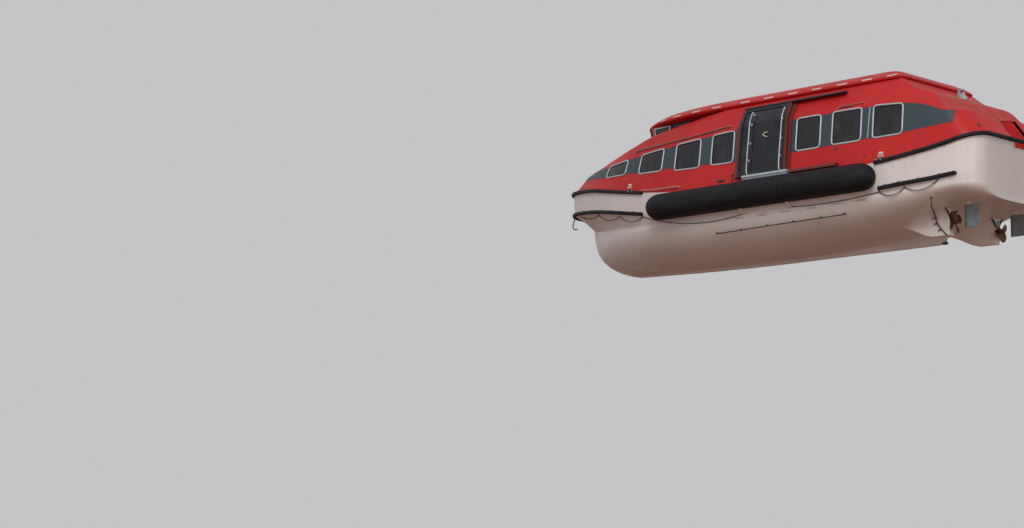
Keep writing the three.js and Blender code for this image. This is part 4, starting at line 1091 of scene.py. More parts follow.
# %% Openings
CANOPY_WALL = 0.06
WINDOWS = {  # fore x, aft x, then foot at each edge and head at each edge, in metres
    1: (4.95, 4.12, 1.81, 1.78, 2.11, 2.17),
    2: (3.50, 2.64, 1.70, 1.66, 2.21, 2.26),
    3: (2.12, 1.28, 1.60, 1.565, 2.285, 2.32),
    4: (0.84, 0.14, 1.57, 1.56, 2.345, 2.375),
    5: (-1.92, -2.63, 1.58, 1.58, 2.40, 2.40),
    6: (-3.03, -3.87, 1.59, 1.59, 2.41, 2.405),
    7: (-4.26, -5.09, 1.595, 1.60, 2.395, 2.33),
}
WINDOW_CORNER = 0.085
DOORWAY = dense(rounded(rectangle(-1.625, -0.125, 1.09, 2.86), 0.08), 0.03)
HATCH = ((-3.5, -0.35), (-2.8, 0.35))
HELM_WELL = ((1.5, -1.05), (3.3, 1.05))
RECESS_STATION = float(before_rake(RECESS_X, CANOPY["rimZ"](-6.53)))


def window_outline(number, inset=0.0):
    """A window's four corners in side view, drawn in by the inset and rounded."""
    fore, aft, fore_foot, aft_foot, fore_head, aft_head = WINDOWS[number]
    corners = np.array([[aft, aft_foot], [fore, fore_foot], [fore, fore_head], [aft, aft_head]])
    corners += inset * np.array([[1, 1], [-1, 1], [-1, -1], [1, -1]])
    return rounded(corners, max(WINDOW_CORNER - inset, 0.02))


def crown_v(x, y):
    """The v of the flat crown at a distance from the centreline, at a station."""
    return 3 - y / (canopy_point(x, 2.5)[..., 1] * 2)


def crown_box(ends):
    """A level rectangle on the crown as (x, v), given by two corners (x, y)."""
    (x0, y0), (x1, y1) = ends
    loop = dense(rectangle(x0, x1, y0, y1), 0.1)
    return np.stack([loop[:, 0], crown_v(loop[:, 0], loop[:, 1])], -1)


def starboard(loop):
    """An (x, v) outline of the port side on the starboard side, where v becomes 6 - v."""
    return loop * (1, -1) + (0, 6)


# %% Canopy skin
BENDS = np.array([-0.03, -0.02, -0.01, 0, 0.012, 0.025, 0.04])
PORT_ROWS = np.concatenate([1 + BENDS, 2 + BENDS])  # extra rows of points where knee and rim are rounded
CORNER_ROWS = np.concatenate([PORT_ROWS, 6 - PORT_ROWS])
EDGE_V = np.unique(np.concatenate([np.linspace(0, 3, 61), PORT_ROWS]).round(4))
BOW_V = np.concatenate([EDGE_V, 6 - EDGE_V[-2::-1]])
CANOPY_MIDDLE = (0, 0, 1.5)


def canopy_outline():
    """The whole skin in (x, v), with the notch of the stern's recess cut out of its after end."""
    x = np.linspace(RECESS_STATION, STERN_X, 14)
    notch = np.stack([x, crown_v(x, RECESS_HALF)], -1)
    bow = np.column_stack([np.full(len(BOW_V), BOW_X), BOW_V])
    stern_v = EDGE_V[EDGE_V < notch[-1, 1] - 0.01][::-1]
    stern = np.column_stack([np.full(len(stern_v), STERN_X), stern_v])
    return np.vstack([bow, starboard(stern)[::-1], starboard(notch)[::-1], notch, stern])


side_holes = [on_side(window_outline(k)) for k in WINDOWS] + [on_side(DOORWAY)]
holes = [*side_holes, *map(starboard, side_holes), crown_box(HATCH), crown_box(HELM_WELL)]
skin = sheet(canopy_point, canopy_outline(), holes, 0.075, rows=CORNER_ROWS)
edge = canopy_point(STERN_X, EDGE_V[EDGE_V <= 2])  # the bulwark runs from the recess out to this corner
bulwark = ruled(edge * (1, 0, 1) + (0, RECESS_HALF, 0), edge, 12)
ends = facing([*both([bulwark]), fan_patch(canopy_point(BOW_X, BOW_V))], CANOPY_MIDDLE)
make_piece("canopy_shell", [skin, *ends], [CANOPY_RED, LINING_PALE], slot="canopy_red",
           replaces=("canopy_fore", "canopy_aft"), thick=CANOPY_WALL)

# %% [markdown]
# ## Stern cockpit
# A crew member stands in a recess at the stern to handle the after hook. It is a notch in the skin, so it
# gets its own moulding: two walls that rise to the canopy's edge, and a bulkhead with the stern doorway.

# %% Stern cockpit
STERN_DOORWAY = rounded(rectangle(-0.3, 0.3, 1.25, 2.1), 0.05)


def cockpit_patches():
    """Two side walls on planes of constant y and a bulkhead on a plane of constant x."""
    x = np.linspace(STERN_X, RECESS_STATION, 14)
    top = canopy_point(x, crown_v(x, RECESS_HALF))
    foot = [[STERN_X + float(rake_at(RECESS_Z)), RECESS_Z], [STERN_X, RAKE_Z]]
    wall_xz = np.vstack([foot, top[:, [0, 2]], [[RECESS_X, RECESS_Z]]])
    wall = sheet(plane(1, RECESS_HALF), wall_xz, (), 0.08, 1.0)
    frame_yz = rectangle(-RECESS_HALF, RECESS_HALF, RECESS_Z, float(top[-1, 2]))
    bulkhead = sheet(plane(0, RECESS_X), frame_yz, [STERN_DOORWAY], 0.08, 1.0)
    return facing(both([wall]), (-6.7, 0, 1.6), -1) + facing([bulkhead], (-9, 0, 1.6), -1)


make_piece("stern_cockpit_moulding", cockpit_patches(), [CANOPY_RED, LINING_PALE], slot="canopy_red",
           replaces=("stern_cockpit",), thick=CANOPY_WALL)

# %% [markdown]
# ## Window band and windows
# A slate band runs under the knee on each side, and the windows sit in it. Each has a pale frame, a black
# gasket and a dark pane. All of them follow the canopy, so their outlines are drawn in side view, carried
# onto the side, and swept with that side's own normals.

# %% Band
BAND_PROUD = 0.005
fore_band = [[-0.02, 1.545], [0.0, 1.545], [1.4, 1.61], [2.84, 1.69], [4.96, 1.80], [5.7, 1.875],
             [6.3, 1.955], [6.42, 1.985]]
aft_band = [[-1.73, 1.54], [-3.4, 1.575], [-5.21, 1.61], [-6.0, 1.655], [-6.53, 1.69]]


def band_outline(foot, slack):
    """A foot line in (x, z), closed straight above it along the knee, a little below where that rounds."""
    foot = dense(foot, 0.08, closed=False)
    low = on_side(foot)
    stations = np.linspace(STERN_X, 6.5, 500)
    above = canopy_point(stations, 1 - slack)[:, 0]
    head = np.column_stack([np.interp(foot[::-1, 0], above, stations), np.full(len(foot), 1 - slack)])
    keep = head[:, 1] > low[::-1, 1] + 0.004
    return np.vstack([low, head[keep]])


def outward(surface, x, v):
    """A surface's unit normal, found by moving out by one."""
    return offset_surface(surface, 1.0)(x, v) - surface(x, v)


for part, foot, numbers in (("fore", fore_band, (1, 2, 3, 4)), ("aft", aft_band, (5, 6, 7))):
    cuts = [on_side(window_outline(k, -0.004)) for k in numbers]
    band = sheet(offset_surface(canopy_point, BAND_PROUD), band_outline(foot, 0.036), cuts, 0.07)
    make_pair(f"window_band_{part}_SIDE", [band], BAND_SLATE, slot="canopy_red", thick=0.012)

# %% Window finishes
def make_pane(name, colour, roughness):
    """Dark tinted pane: mostly its own colour, partly clear, with dust streaks in its gloss."""
    tree = Tree(name)
    tree.set(Transmission_Weight=0.35, IOR=1.45)
    film = tree.ramp(tree.noise(3.5, 5, (1, 1, 0.5)), (0.45, 0.0), (0.75, 1.0))
    tree.link(tree.mix(tree.math("MULTIPLY", film, 0.5), colour, (0.07, 0.075, 0.08)), "Base Color")
    tree.link(tree.ramp(film, (0.0, roughness), (1.0, roughness + 0.16)), "Roughness")
    return tree.material


WINDOW_GLASS = make_pane("window_glass", (0.018, 0.020, 0.026), 0.07)
DOOR_GLASS = make_pane("door_glass", (0.012, 0.017, 0.026), 0.1)
GASKET = make_rubber("gasket", (0.012, 0.012, 0.013), (0.03, 0.03, 0.03), 0.6)

# %% Windows
FRAME_PROFILE = rounded([[-0.022, -0.012], [0.022, -0.012], [0.022, 0.006], [0.012, 0.014], [-0.012, 0.014],
                         [-0.022, 0.006]], 0.005, 2)
GASKET_PROFILE = rounded(rectangle(-0.012, 0.012, -0.012, 0.006), 0.004, 2)


def framed(outline, out, profile):
    """A frame swept round an outline of the port side, standing on the side's normal."""
    loop = on_side(dense(outline, 0.08))
    path = offset_surface(canopy_point, out)(*loop.T)
    return sweep(path, profile, outward(canopy_point, *loop.T), closed=True)


for k in WINDOWS:
    ring = framed(window_outline(k, -0.018), 0.006, FRAME_PROFILE)
    seal = framed(window_outline(k, 0.014), 0.0, GASKET_PROFILE)
    make_pair(f"window_frame_SIDE_{k}", ring + seal, [RAIL_PALE] * len(ring) + [GASKET] * len(seal),
              slot="rail_pale")
    pane = sheet(offset_surface(canopy_point, -0.004), on_side(window_outline(k, 0.006)), (), 0.12)
    make_pair(f"window_pane_SIDE_{k}", [pane], WINDOW_GLASS, slot="window_glass",
              replaces=(f"window_SIDE_{k}",), thick=0.008)

# %% [markdown]
# ## Side doors
# On each side a door hangs outside the canopy on a track and slides aft. The leaf follows the side and bends
# at the knee, with dark glass in a black frame, two pale grab rails and a ribbed step below. Its pieces ride
# on the door's body, so they move with the slide.

# %% Door leaf
DOOR_NEAR, DOOR_FAR = 0.062, 0.118  # the leaf's two faces, out from the canopy
DOOR_AFT, DOOR_FORE, DOOR_FOOT, DOOR_HEAD = -1.69, -0.06, 1.082, 2.9
DOOR_LEAN = 0.03  # how far each jamb leans in towards the head
PANE_BORDER, PANE_FOOT, PANE_HEAD = 0.13, 1.19, 2.835
JAMBS = (("fore", -0.005, -0.13), ("aft", -1.62, -1.755))
BEAD = rounded(rectangle(-0.009, 0.009, -0.01, 0.006), 0.004, 2)


def door_outline(inset, corner):
    """The leaf's outline in side view, drawn in by the inset."""
    aft, fore, foot, head = DOOR_AFT + inset, DOOR_FORE - inset, DOOR_FOOT + inset, DOOR_HEAD - inset
    corners = [[aft, foot], [fore, foot], [fore - DOOR_LEAN, head], [aft + DOOR_LEAN, head]]
    return dense(rounded(corners, corner, 6), 0.035)


def door_sheet(outline, holes, out):
    """A sheet over the leaf's surface, which lies `out` outside the canopy."""
    loops = [on_side(loop, out) for loop in (outline, *holes)]
    return sheet(offset_surface(canopy_point, out), loops[0], loops[1:], 0.06, rows=PORT_ROWS)


def door_line(xz, out):
    """Points and normals along a line of the leaf given in side view."""
    flat = on_side(xz, out)
    return offset_surface(canopy_point, out)(*flat.T), outward(canopy_point, *flat.T)


pane_loop = door_outline(PANE_BORDER, 0.09)
pane_span = [DOOR_FOOT + PANE_BORDER, DOOR_HEAD - PANE_BORDER]
pane_loop[:, 1] = np.interp(pane_loop[:, 1], pane_span, [PANE_FOOT, PANE_HEAD])
black_loop = rounded([[-1.615, 1.09], [-0.14, 1.09], [-0.165, 2.897], [-1.6, 2.897]], 0.05, 4)
# The leaf is made in the dark shaded red, so its visible edges carry painted shade.
leaf = door_sheet(door_outline(0.0, 0.06), [pane_loop], DOOR_FAR)
make_pair("door_leaf_SIDE", [leaf], PAINTED_SHADE_RED, "SIDE_door", "door_black", ("side_door_SIDE",),
          thick=DOOR_FAR - DOOR_NEAR)
black = door_sheet(black_loop, [pane_loop], DOOR_FAR + 0.006)
make_pair("door_facing_SIDE", [black], DOOR_BLACK, "SIDE_door", "door_black", thick=0.01)
path, normal = door_line(pane_loop, DOOR_FAR + 0.004)
make_pair("door_bead_SIDE", sweep(path, BEAD, normal, closed=True), DOOR_BLACK, "SIDE_door", "door_black")
glass = door_sheet(pane_loop, [], DOOR_FAR - 0.012)
make_pair("door_pane_SIDE", [glass], DOOR_GLASS, "SIDE_door", "window_glass", ("door_glass_SIDE",),
          thick=0.014)
# The jambs are the canopy's red darkened as in shadow: painted shade.
for end, fore_x, aft_x in JAMBS:
    jamb = door_sheet(rounded(rectangle(aft_x, fore_x, 1.085, 2.9), 0.02, 2), [], 0.045)
    make_pair(f"door_jamb_{end}_SIDE", [jamb], PAINTED_SHADE_RED, slot="canopy_red", thick=0.05)
path, normal = door_line(dense([[-0.875, 1.2], [-0.875, 2.82]], 0.05, closed=False), DOOR_FAR - 0.012)
make_pair("door_centre_bead_SIDE", sweep(path, BEAD * 0.5, normal), DOOR_BLACK, "SIDE_door", "door_black")

# %% Door rails
RAIL_X = (("fore", -0.52), ("aft", -1.555))
RAIL_LINE = np.array([(-0.02, 1.088), (-0.008, 1.13), (0.01, 1.25), (0.012, 1.5), (0.004, 2.0), (0, 2.42),
                      (0.01, 2.715)])
RAIL_R, RAIL_OUT, RAIL_POSTS = 0.016, 0.085, (1.5, 1.965, 2.43, 2.745)
POST_FOOT = [(0, 0), (0.034, 0), (0.034, 0.007), (0.014, 0.011), (0.012, 0.085), (0, 0.085)]
POST_COLLAR = [(0, -0.018), (0.013, -0.014), (0.02, 0), (0.013, 0.014), (0, 0.018)]
for end, rail_x in RAIL_X:
    path, normal = door_line(curve(RAIL_LINE + (rail_x, 0), 46), DOOR_FAR)
    path = path + normal * RAIL_OUT
    path[:4] -= normal[:4] * np.array([0.05, 0.028, 0.012, 0.004])[:, None]
    smooth = np.vstack([path[:1], (path[:-2] + 2 * path[1:-1] + path[2:]) / 4, path[-1:]])
    parts = tube(smooth, RAIL_R, 12)
    for z in RAIL_POSTS:
        k = int(np.argmin(np.abs(smooth[:, 2] - z)))
        parts += lathe(POST_FOOT, smooth[k] - normal[k] * 0.09, normal[k], 14)
        parts += lathe(POST_COLLAR, smooth[k] + (-0.022, 0, 0), (1, 0, 0), 12)
    make_pair(f"door_rail_bar_{end}_SIDE", parts, RAIL_PALE, "SIDE_door", "rail_pale",
              (f"door_rail_{end}_SIDE",))

# %% Track and step
def side_bar(fore_x, aft_x, z0, z1, near, far, ease=0.012):
    """A bar along the canopy's side between two heights and two distances out from it."""
    x = np.linspace(aft_x, fore_x, max(8, int((fore_x - aft_x) / 0.08)))
    corners = rounded(rectangle(near, far, z0, z1), ease, 3)
    return capped(np.stack([side_point(x, np.full_like(x, z), out) for out, z in corners], 1))


track = side_bar(-0.12, -3.26, 2.912, 2.965, -0.01, 0.135)
for x in np.arange(-3.1, -0.2, 0.62):
    bolt = [(0, 0), (0.016, 0), (0.016, 0.008), (0.01, 0.012), (0, 0.012)]
    track += lathe(bolt, side_point(x, 2.938, 0.13), (0, 0.87, 0.5), 10)
make_pair("door_header_SIDE", track, DOOR_BLACK, slot="door_black", replaces=("door_track_SIDE",))
step = side_bar(-0.385, -1.825, 1.022, 1.074, -0.01, 0.23)
for out in np.linspace(0.135, 0.215, 5):
    step += side_bar(-0.415, -1.795, 1.072, 1.0816, out - 0.005, out + 0.005, 0.003)
under = side_bar(-0.40, -1.81, 0.955, 1.024, -0.01, 0.215)
make_pair("boarding_step_SIDE", step + under, [RAIL_PALE] * len(step) + [GEAR_GREY] * len(under),
          slot="rail_pale", replaces=("door_sill_SIDE",))
# The ledge aft of the door is red darkened as in shadow: painted shade.
ledge = side_bar(-1.82, -3.26, 1.0, 1.074, -0.01, 0.13)
make_pair("door_ledge_SIDE", ledge, PAINTED_SHADE_RED, slot="canopy_red")

# %% [markdown]
# ## Roof and helm
# The roof is a shallow dish turned over: a thick rim, then a shoulder that rises to a level crown. Its plan
# is straight along the sides and a superellipse at the fore end, y = b sqrt(1 - u^n). One profile of (inset,
# height) shrinks that plan ring by ring, and the hatch is made the same way from a rounded rectangle.

# %% Roof outline
ROOF_Z, ROOF_CROWN = 3.0904, 3.4304
ROOF_HALF, ROOF_AFT, ROOF_NOSE, ROOF_STRAIGHT = 1.7, -4.83, 4.45, 0.5
ROOF_POWER = 2.5


def roof_half(x):
    """Half breadth of the roof's plan at x."""
    u = np.clip((np.asarray(x, float) - ROOF_STRAIGHT) / (ROOF_NOSE - ROOF_STRAIGHT), 0, 1)
    return ROOF_HALF * np.sqrt(1 - u**ROOF_POWER)


nose = ROOF_STRAIGHT + (ROOF_NOSE - ROOF_STRAIGHT) * np.sin(np.linspace(0, math.pi / 2, 22))
port_edge = np.column_stack([nose[::-1], roof_half(nose[::-1])])
aft_corner = rounded([[-1, ROOF_HALF], [ROOF_AFT, ROOF_HALF], [ROOF_AFT, 0]], 0.3, 8)[9:18]
straight = dense([[ROOF_STRAIGHT, ROOF_HALF], aft_corner[0]], 0.25, False)[1:-1]
port_edge = np.vstack([port_edge, straight, aft_corner])
ROOF_LOOP = np.vstack([port_edge, port_edge[:0:-1] * (1, -1)])
ROOF_MIDDLE = np.array([(ROOF_AFT + ROOF_NOSE) / 2, 0])
ROOF_REACH = np.array([(ROOF_NOSE - ROOF_AFT) / 2, ROOF_HALF])
ROOF_PROFILE = [  # inset and height, from under the rim to the crown
    (0.075, ROOF_Z), (0.045, 3.094), (0.012, 3.122), (0, 3.138), (0, 3.152), (0.012, 3.176), (0.045, 3.205),
    (0.11, 3.25), (0.21, 3.31), (0.33, 3.367), (0.44, 3.405), (0.54, 3.424), (0.64, ROOF_CROWN),
]


def rim_rings(loop, middle, reach, profile):
    """A ring for each (inset, z): the loop shrunk about its middle until its ends have moved by the inset."""
    return np.array([np.column_stack([middle + (loop - middle) * (1 - inset / reach), np.full(len(loop), z)])
                     for inset, z in profile])


# %% Roof
(x0, y0), (x1, y1) = HATCH
well = dense(rounded(rectangle(x0, x1, y0, y1), 0.02), 0.12)
rim = rim_rings(ROOF_LOOP, ROOF_MIDDLE, ROOF_REACH, ROOF_PROFILE)
levels = [sheet(plane(2, z), rim[k, :, :2], [well], 0.16, 1.0) for k, z in ((0, ROOF_Z), (-1, ROOF_CROWN))]
trunk = np.array([plane(2, z)(*well.T) for z in (ROOF_Z, ROOF_CROWN)])
make_piece("roof_slab", [grid_patch(rim, False, True), *levels, grid_patch(trunk, False, True)], CANOPY_RED,
           slot="canopy_red", replaces=("roof_panel",), sharp=50)

# %% Roof hatch
def lid_rings(x0, x1, half, profile):
    """A rounded rectangle carried through a profile of (inset, z)."""
    loop = rounded(rectangle(x0, x1, -half, half), 0.06, 6)
    middle, reach = np.array([(x0 + x1) / 2, 0]), np.array([(x1 - x0) / 2, half])
    return rim_rings(loop, middle, reach, profile)


HATCH_HINGE_X = -2.75
LID_PROFILE = [(0.01, 3.4308), (0, 3.436), (0, 3.462), (0.006, 3.472), (0.022, 3.478)]
DOME_PROFILE = [(0, 3.474), (0.004, 3.482), (0.02, 3.4895), (0.06, 3.4905)]
lid_parts = capped(lid_rings(-3.55, HATCH_HINGE_X, 0.4, LID_PROFILE))
lid_parts += capped(lid_rings(-3.46, -2.84, 0.31, DOME_PROFILE))
for y in (-0.22, 0.22):
    lid_parts += tube([(HATCH_HINGE_X, y - 0.06, 3.452), (HATCH_HINGE_X, y + 0.06, 3.452)], 0.018, 12)
grip = [(-3.5, -0.09, 3.47), (-3.535, -0.085, 3.485), (-3.54, 0, 3.485), (-3.535, 0.085, 3.485),
        (-3.5, 0.09, 3.47)]
lid_parts += tube(curve(grip, 20), 0.006, 8)
make_piece("hatch_lid", lid_parts, CANOPY_RED, "roof_hatch", "canopy_red", ("roof_hatch",), sharp=50)

# %% [markdown]
# ## Helm
# The helm's walls are one strip that bends at each post, so a wall's point is given by metres run round the
# plan and by height. Panes and frames are drawn on that strip laid flat, then stood up with it.


# %% Helm
HELM_PLAN = np.array([(1.15, 1.44), (3.64, 1.11), (4.12, 0.6), (4.12, -0.6), (3.64, -1.11), (1.15, -1.44)])
HELM_LEAN, HELM_Z0 = 0.08, 2.56
HELM_RUN = np.concatenate([[0], np.cumsum(np.linalg.norm(np.diff(HELM_PLAN, axis=0), axis=1))])
SIDE_GLASS = [[1.75, 3.008], [3.59, 2.835], [3.64, 3.05], [1.795, 3.05]]
SCREEN_FOOT, SCREEN_HEAD = 2.78, 3.05


def helm_wall(run, z):
    """The helm's walls: run metres round the plan from the port after corner, with the front leaning out."""
    x, y = (np.interp(run, HELM_RUN, HELM_PLAN[:, k]) for k in (0, 1))
    share = np.interp(run, HELM_RUN, [0, 1, 1, 1, 1, 0])
    return np.stack([x + HELM_LEAN * share * (z - HELM_Z0) / (ROOF_Z - HELM_Z0), y, z * np.ones_like(x)], -1)


def helm_run(xz):
    """An outline of (x, z) on the port side wall as (run, z)."""
    xz = np.asarray(xz, float)
    length = HELM_PLAN[1, 0] - HELM_PLAN[0, 0] + HELM_LEAN * (xz[:, 1] - HELM_Z0) / (ROOF_Z - HELM_Z0)
    return np.stack([(xz[:, 0] - HELM_PLAN[0, 0]) / length * HELM_RUN[1], xz[:, 1]], -1)


def screen_loop(start, end):
    """A front pane's outline as (run, z), set in from the posts at its ends."""
    return rounded(rectangle(start, end, SCREEN_FOOT, SCREEN_HEAD), 0.03)


def across(loops):
    """Outlines on the port half of the strip, and the same ones mirrored on its starboard half."""
    return [*loops, *(loop * (-1, 1) + (HELM_RUN[-1], 0) for loop in loops)]


POST = 0.045
HELM_MIDDLE = (2.5, 0, 3)
side_loop = helm_run(rounded(SIDE_GLASS, 0.018))
screens = across([screen_loop(HELM_RUN[1] + 0.07, HELM_RUN[2] - POST),
                  screen_loop(HELM_RUN[2] + POST, HELM_RUN[-1] / 2 - 0.02)])
run = np.unique(np.concatenate([np.linspace(0, HELM_RUN[-1], 90), HELM_RUN]))
deck_z = CANOPY["rimZ"](helm_wall(run, 2.8)[:, 0]) - 0.012
edge = np.vstack([np.column_stack([run, deck_z]), [[HELM_RUN[-1], ROOF_Z], [0, ROOF_Z]]])
walls = facing([sheet(helm_wall, edge, [*screens, *across([side_loop])], 0.08, 1.0)], HELM_MIDDLE)
make_piece("helm_house", walls, [CANOPY_RED, LINING_PALE], slot="canopy_red", replaces=("helm_walls",),
           thick=0.05)

# %% Helm windows
FLAT_FRAME = rounded(rectangle(-0.02, 0.02, -0.01, 0.008), 0.005, 2)
FRAMED_PANE = [[2.98, 2.895], [3.58, 2.838], [3.628, 3.04], [3.0, 3.04]]


def helm_frame(loop, profile=FLAT_FRAME):
    """A frame swept round an outline of (run, z), standing on the wall's normal."""
    loop = dense(loop, 0.1)
    return sweep(helm_wall(*loop.T), profile, outward(helm_wall, *loop.T), closed=True)


def helm_panes(loops):
    """Panes that fill outlines of (run, z), 10 mm inside the wall's face."""
    inner = offset_surface(helm_wall, -0.01)
    return facing([sheet(inner, loop, (), 0.15, 1.0) for loop in loops], HELM_MIDDLE)


ring = helm_frame(helm_run(rounded(FRAMED_PANE, 0.03)), FLAT_FRAME * 0.8)
ends = helm_run([[3.02, 2.90], [2.95, 3.03]])
ring += sweep(helm_wall(*ends.T) + outward(helm_wall, *ends.T) * 0.02, circle(0.022, 10), (1, 0, 0))
make_pair("helm_side_frame_SIDE", ring, RAIL_PALE, slot="rail_pale")
make_pair("helm_side_seal_SIDE", helm_frame(side_loop, FLAT_FRAME * 0.7), GASKET, slot="door_black")
make_pair("helm_side_pane_SIDE", helm_panes([side_loop]), WINDOW_GLASS, slot="window_glass",
          replaces=("helm_glass_SIDE",), thick=0.02)
frames = [patch for loop in screens for patch in helm_frame(loop)]
make_piece("windscreen_frames", frames, GASKET, slot="door_black")
make_piece("windscreen_panes", helm_panes(screens), WINDOW_GLASS, slot="window_glass",
           replaces=("windscreen",), thick=0.02)

# %% [markdown]
# ## Stern door
# The door from the cockpit into the cabin is a moulded leaf, hinged on its port edge. Its raised border is
# made by rings of one rounded outline, each at its own inset and its own distance aft.

# %% Stern door
STERN_DOOR_X, STERN_DOOR_THICK = -6.1504, 0.045
STERN_DOOR_HALF, STERN_DOOR_FOOT, STERN_DOOR_HEAD = 0.34, 1.22, 2.14
STERN_HINGE_X = -6.173


def stern_door_patches():
    """Rings of (inset, x): the fore face's edge, the rim, the aft face's border and the sunk panel."""
    back = STERN_DOOR_X - STERN_DOOR_THICK
    rings = []
    for inset, x in ((0.012, STERN_DOOR_X), (0.0, STERN_DOOR_X - 0.012), (0.0, STERN_DOOR_X - 0.034),
                     (0.012, back), (0.07, back), (0.09, back + 0.012)):
        half = STERN_DOOR_HALF - inset
        loop = rounded(rectangle(-half, half, STERN_DOOR_FOOT + inset, STERN_DOOR_HEAD - inset), 0.07, 5)
        rings.append(plane(0, x)(*loop.T))
    return capped(rings)


door_parts = stern_door_patches()
grip = [(-6.19, -0.24, 1.6), (-6.208, -0.24, 1.62), (-6.208, -0.24, 1.76), (-6.19, -0.24, 1.78)]
door_parts += tube(curve(grip, 16), 0.008)
for z in (1.42, 1.92):
    hinge = [(STERN_HINGE_X, STERN_DOOR_HALF, z - 0.06), (STERN_HINGE_X, STERN_DOOR_HALF, z + 0.06)]
    door_parts += tube(hinge, 0.016, 12)
make_piece("stern_door_panel", door_parts, CANOPY_RED, "stern_door", "canopy_red", ("stern_door",))

# %% [markdown]
# ## Lifting hooks
# A hook stands on the deck at each end, and the whole boat hangs on the two. A hook is a thick plate cut to a
# J, so its outline is drawn once in side view, made solid across and its edges are eased with a bevel.

# %% Hooks
HOOK_OUTLINE = [
    (-0.15, -0.25), (0.15, -0.25), (0.15, 0.06), (0.09, 0.09), (0.09, 0.21), (0.03, 0.27), (-0.04, 0.27),
    (-0.08, 0.235), (-0.08, 0.205), (-0.025, 0.215), (0.02, 0.18), (0.02, 0.12), (-0.05, 0.12), (-0.06, 0.16),
    (-0.095, 0.16), (-0.105, 0.09), (-0.15, 0.06),
]
HOOKS = (("fore", 5.35), ("aft", -5.45))
HOOK_HALF = 0.045
HOOK_PIN = [(0, -0.055), (0.018, -0.055), (0.022, -0.048), (0.022, 0.048), (0.018, 0.055), (0, 0.055)]
BOLT = [(0, 0), (0.02, 0), (0.02, 0.014), (0.012, 0.018), (0, 0.018)]
for end, x in HOOKS:
    deck = float(CANOPY["rimZ"](x))
    outline = rounded(np.array(HOOK_OUTLINE) + (x, deck), 0.012, 2)
    make_piece(f"hook_{end}", prism(outline, -HOOK_HALF, HOOK_HALF), STEEL, slot="hook_steel",
               replaces=(f"lifting_hook_{end}",), bevel=0.006)
    base_x = np.linspace(x - 0.24, x + 0.24, 8)
    plate = np.stack([base_x, 0 * base_x, CANOPY["rimZ"](base_x)], -1)
    parts = sweep(plate, rounded(rectangle(-0.16, 0.16, -0.005, 0.016), 0.006, 2), (0, 0, 1))
    for bolt_x in (x - 0.19, x + 0.19):
        for bolt_y in (-0.11, 0.11):
            parts += lathe(BOLT, (bolt_x, bolt_y, float(CANOPY["rimZ"](bolt_x)) + 0.015), sides=6)
    for pin_z in (0.06, 0.21):
        parts += lathe(HOOK_PIN, (x + 0.055, 0, deck + pin_z), (0, 1, 0), 16)
    make_piece(f"hook_base_{end}", parts, STEEL, slot="hook_steel")
    print("hook", end, "on the deck at", round(deck, 3))

# %% [markdown]
# ## Cabin
# Through the glass and the open doors one sees benches, engine covers and the helm's console. Rows of moulded
# seats repeat along the boat, so a bench is one grid whose top dips once for each seat.

# %% Seats
SEAT_SHELL = make_rubber("seat_shell", (0.20, 0.035, 0.025), (0.26, 0.08, 0.06), 0.6)


def bench(x0, x1, y0, y1, z0, z1, pitch=0.46):
    """A box with rounded rims whose top sinks by sin^2 along and by a power of sin across each seat."""
    count = max(1, round((x1 - x0) / pitch))
    x = np.linspace(x0, x1, count * 10 + 1)
    ease = 0.03
    rim_y = np.array([0, 0, 0.0, 0.3]) * ease
    rim_z = np.array([z0, z0 + 0.02, z1 - ease, z1 - 0.3 * ease])
    y = np.concatenate([y0 + rim_y, np.linspace(y0 + ease, y1 - ease, 9), (y1 - rim_y)[::-1]])
    z = np.concatenate([rim_z, np.full(9, z1), rim_z[::-1]])
    seat = np.sin(math.pi * (x - x0) / (x1 - x0) * count)[:, None] ** 2
    dish = np.concatenate([np.zeros(4), np.sin(np.linspace(0, math.pi, 9)) ** 0.7, np.zeros(4)])[None, :]
    xs, ys = np.meshgrid(x, y, indexing="ij")
    return capped(np.stack([xs, ys, z[None, :] - 0.03 * seat * dish], -1))


SEAT_TOP, SIDE_SEAT_FOOT = 0.7, SOLE_Z + 0.08
sides = block((-4.1, 1.5, SOLE_Z), (2.9, 1.83, SIDE_SEAT_FOOT), 0.02)
for aft_x, fore_x in ((0.2, 2.9), (-4.1, -1.8)):
    sides += bench(aft_x, fore_x, 1.38, 1.83, SIDE_SEAT_FOOT, SEAT_TOP)
make_pair("side_benches_SIDE", sides, SEAT_SHELL, slot="seat_shell", replaces=("seats_SIDE",))
cover = block((-5.35, 0.75, -0.14), (-4.25, 1.31, 0.62), 0.08, 4, 0.94)
for x in np.linspace(-5.1, -4.5, 7):
    cover += block((x - 0.02, 0.88, 0.612), (x + 0.02, 1.18, 0.628), 0.015)
make_pair("engine_cover_SIDE", cover, GEAR_GREY, slot="gear_grey", replaces=("engine_SIDE",))
parts = both(bench(-4.0, 2.0, 0.05, 0.48, SOLE_Z, SEAT_TOP))
parts += prism(rounded(rectangle(-4.0, 2.0, SOLE_Z, 1.12), 0.06), -0.05, 0.05)
make_piece("centre_benches", parts, SEAT_SHELL, slot="seat_shell", replaces=("seats_centre",))

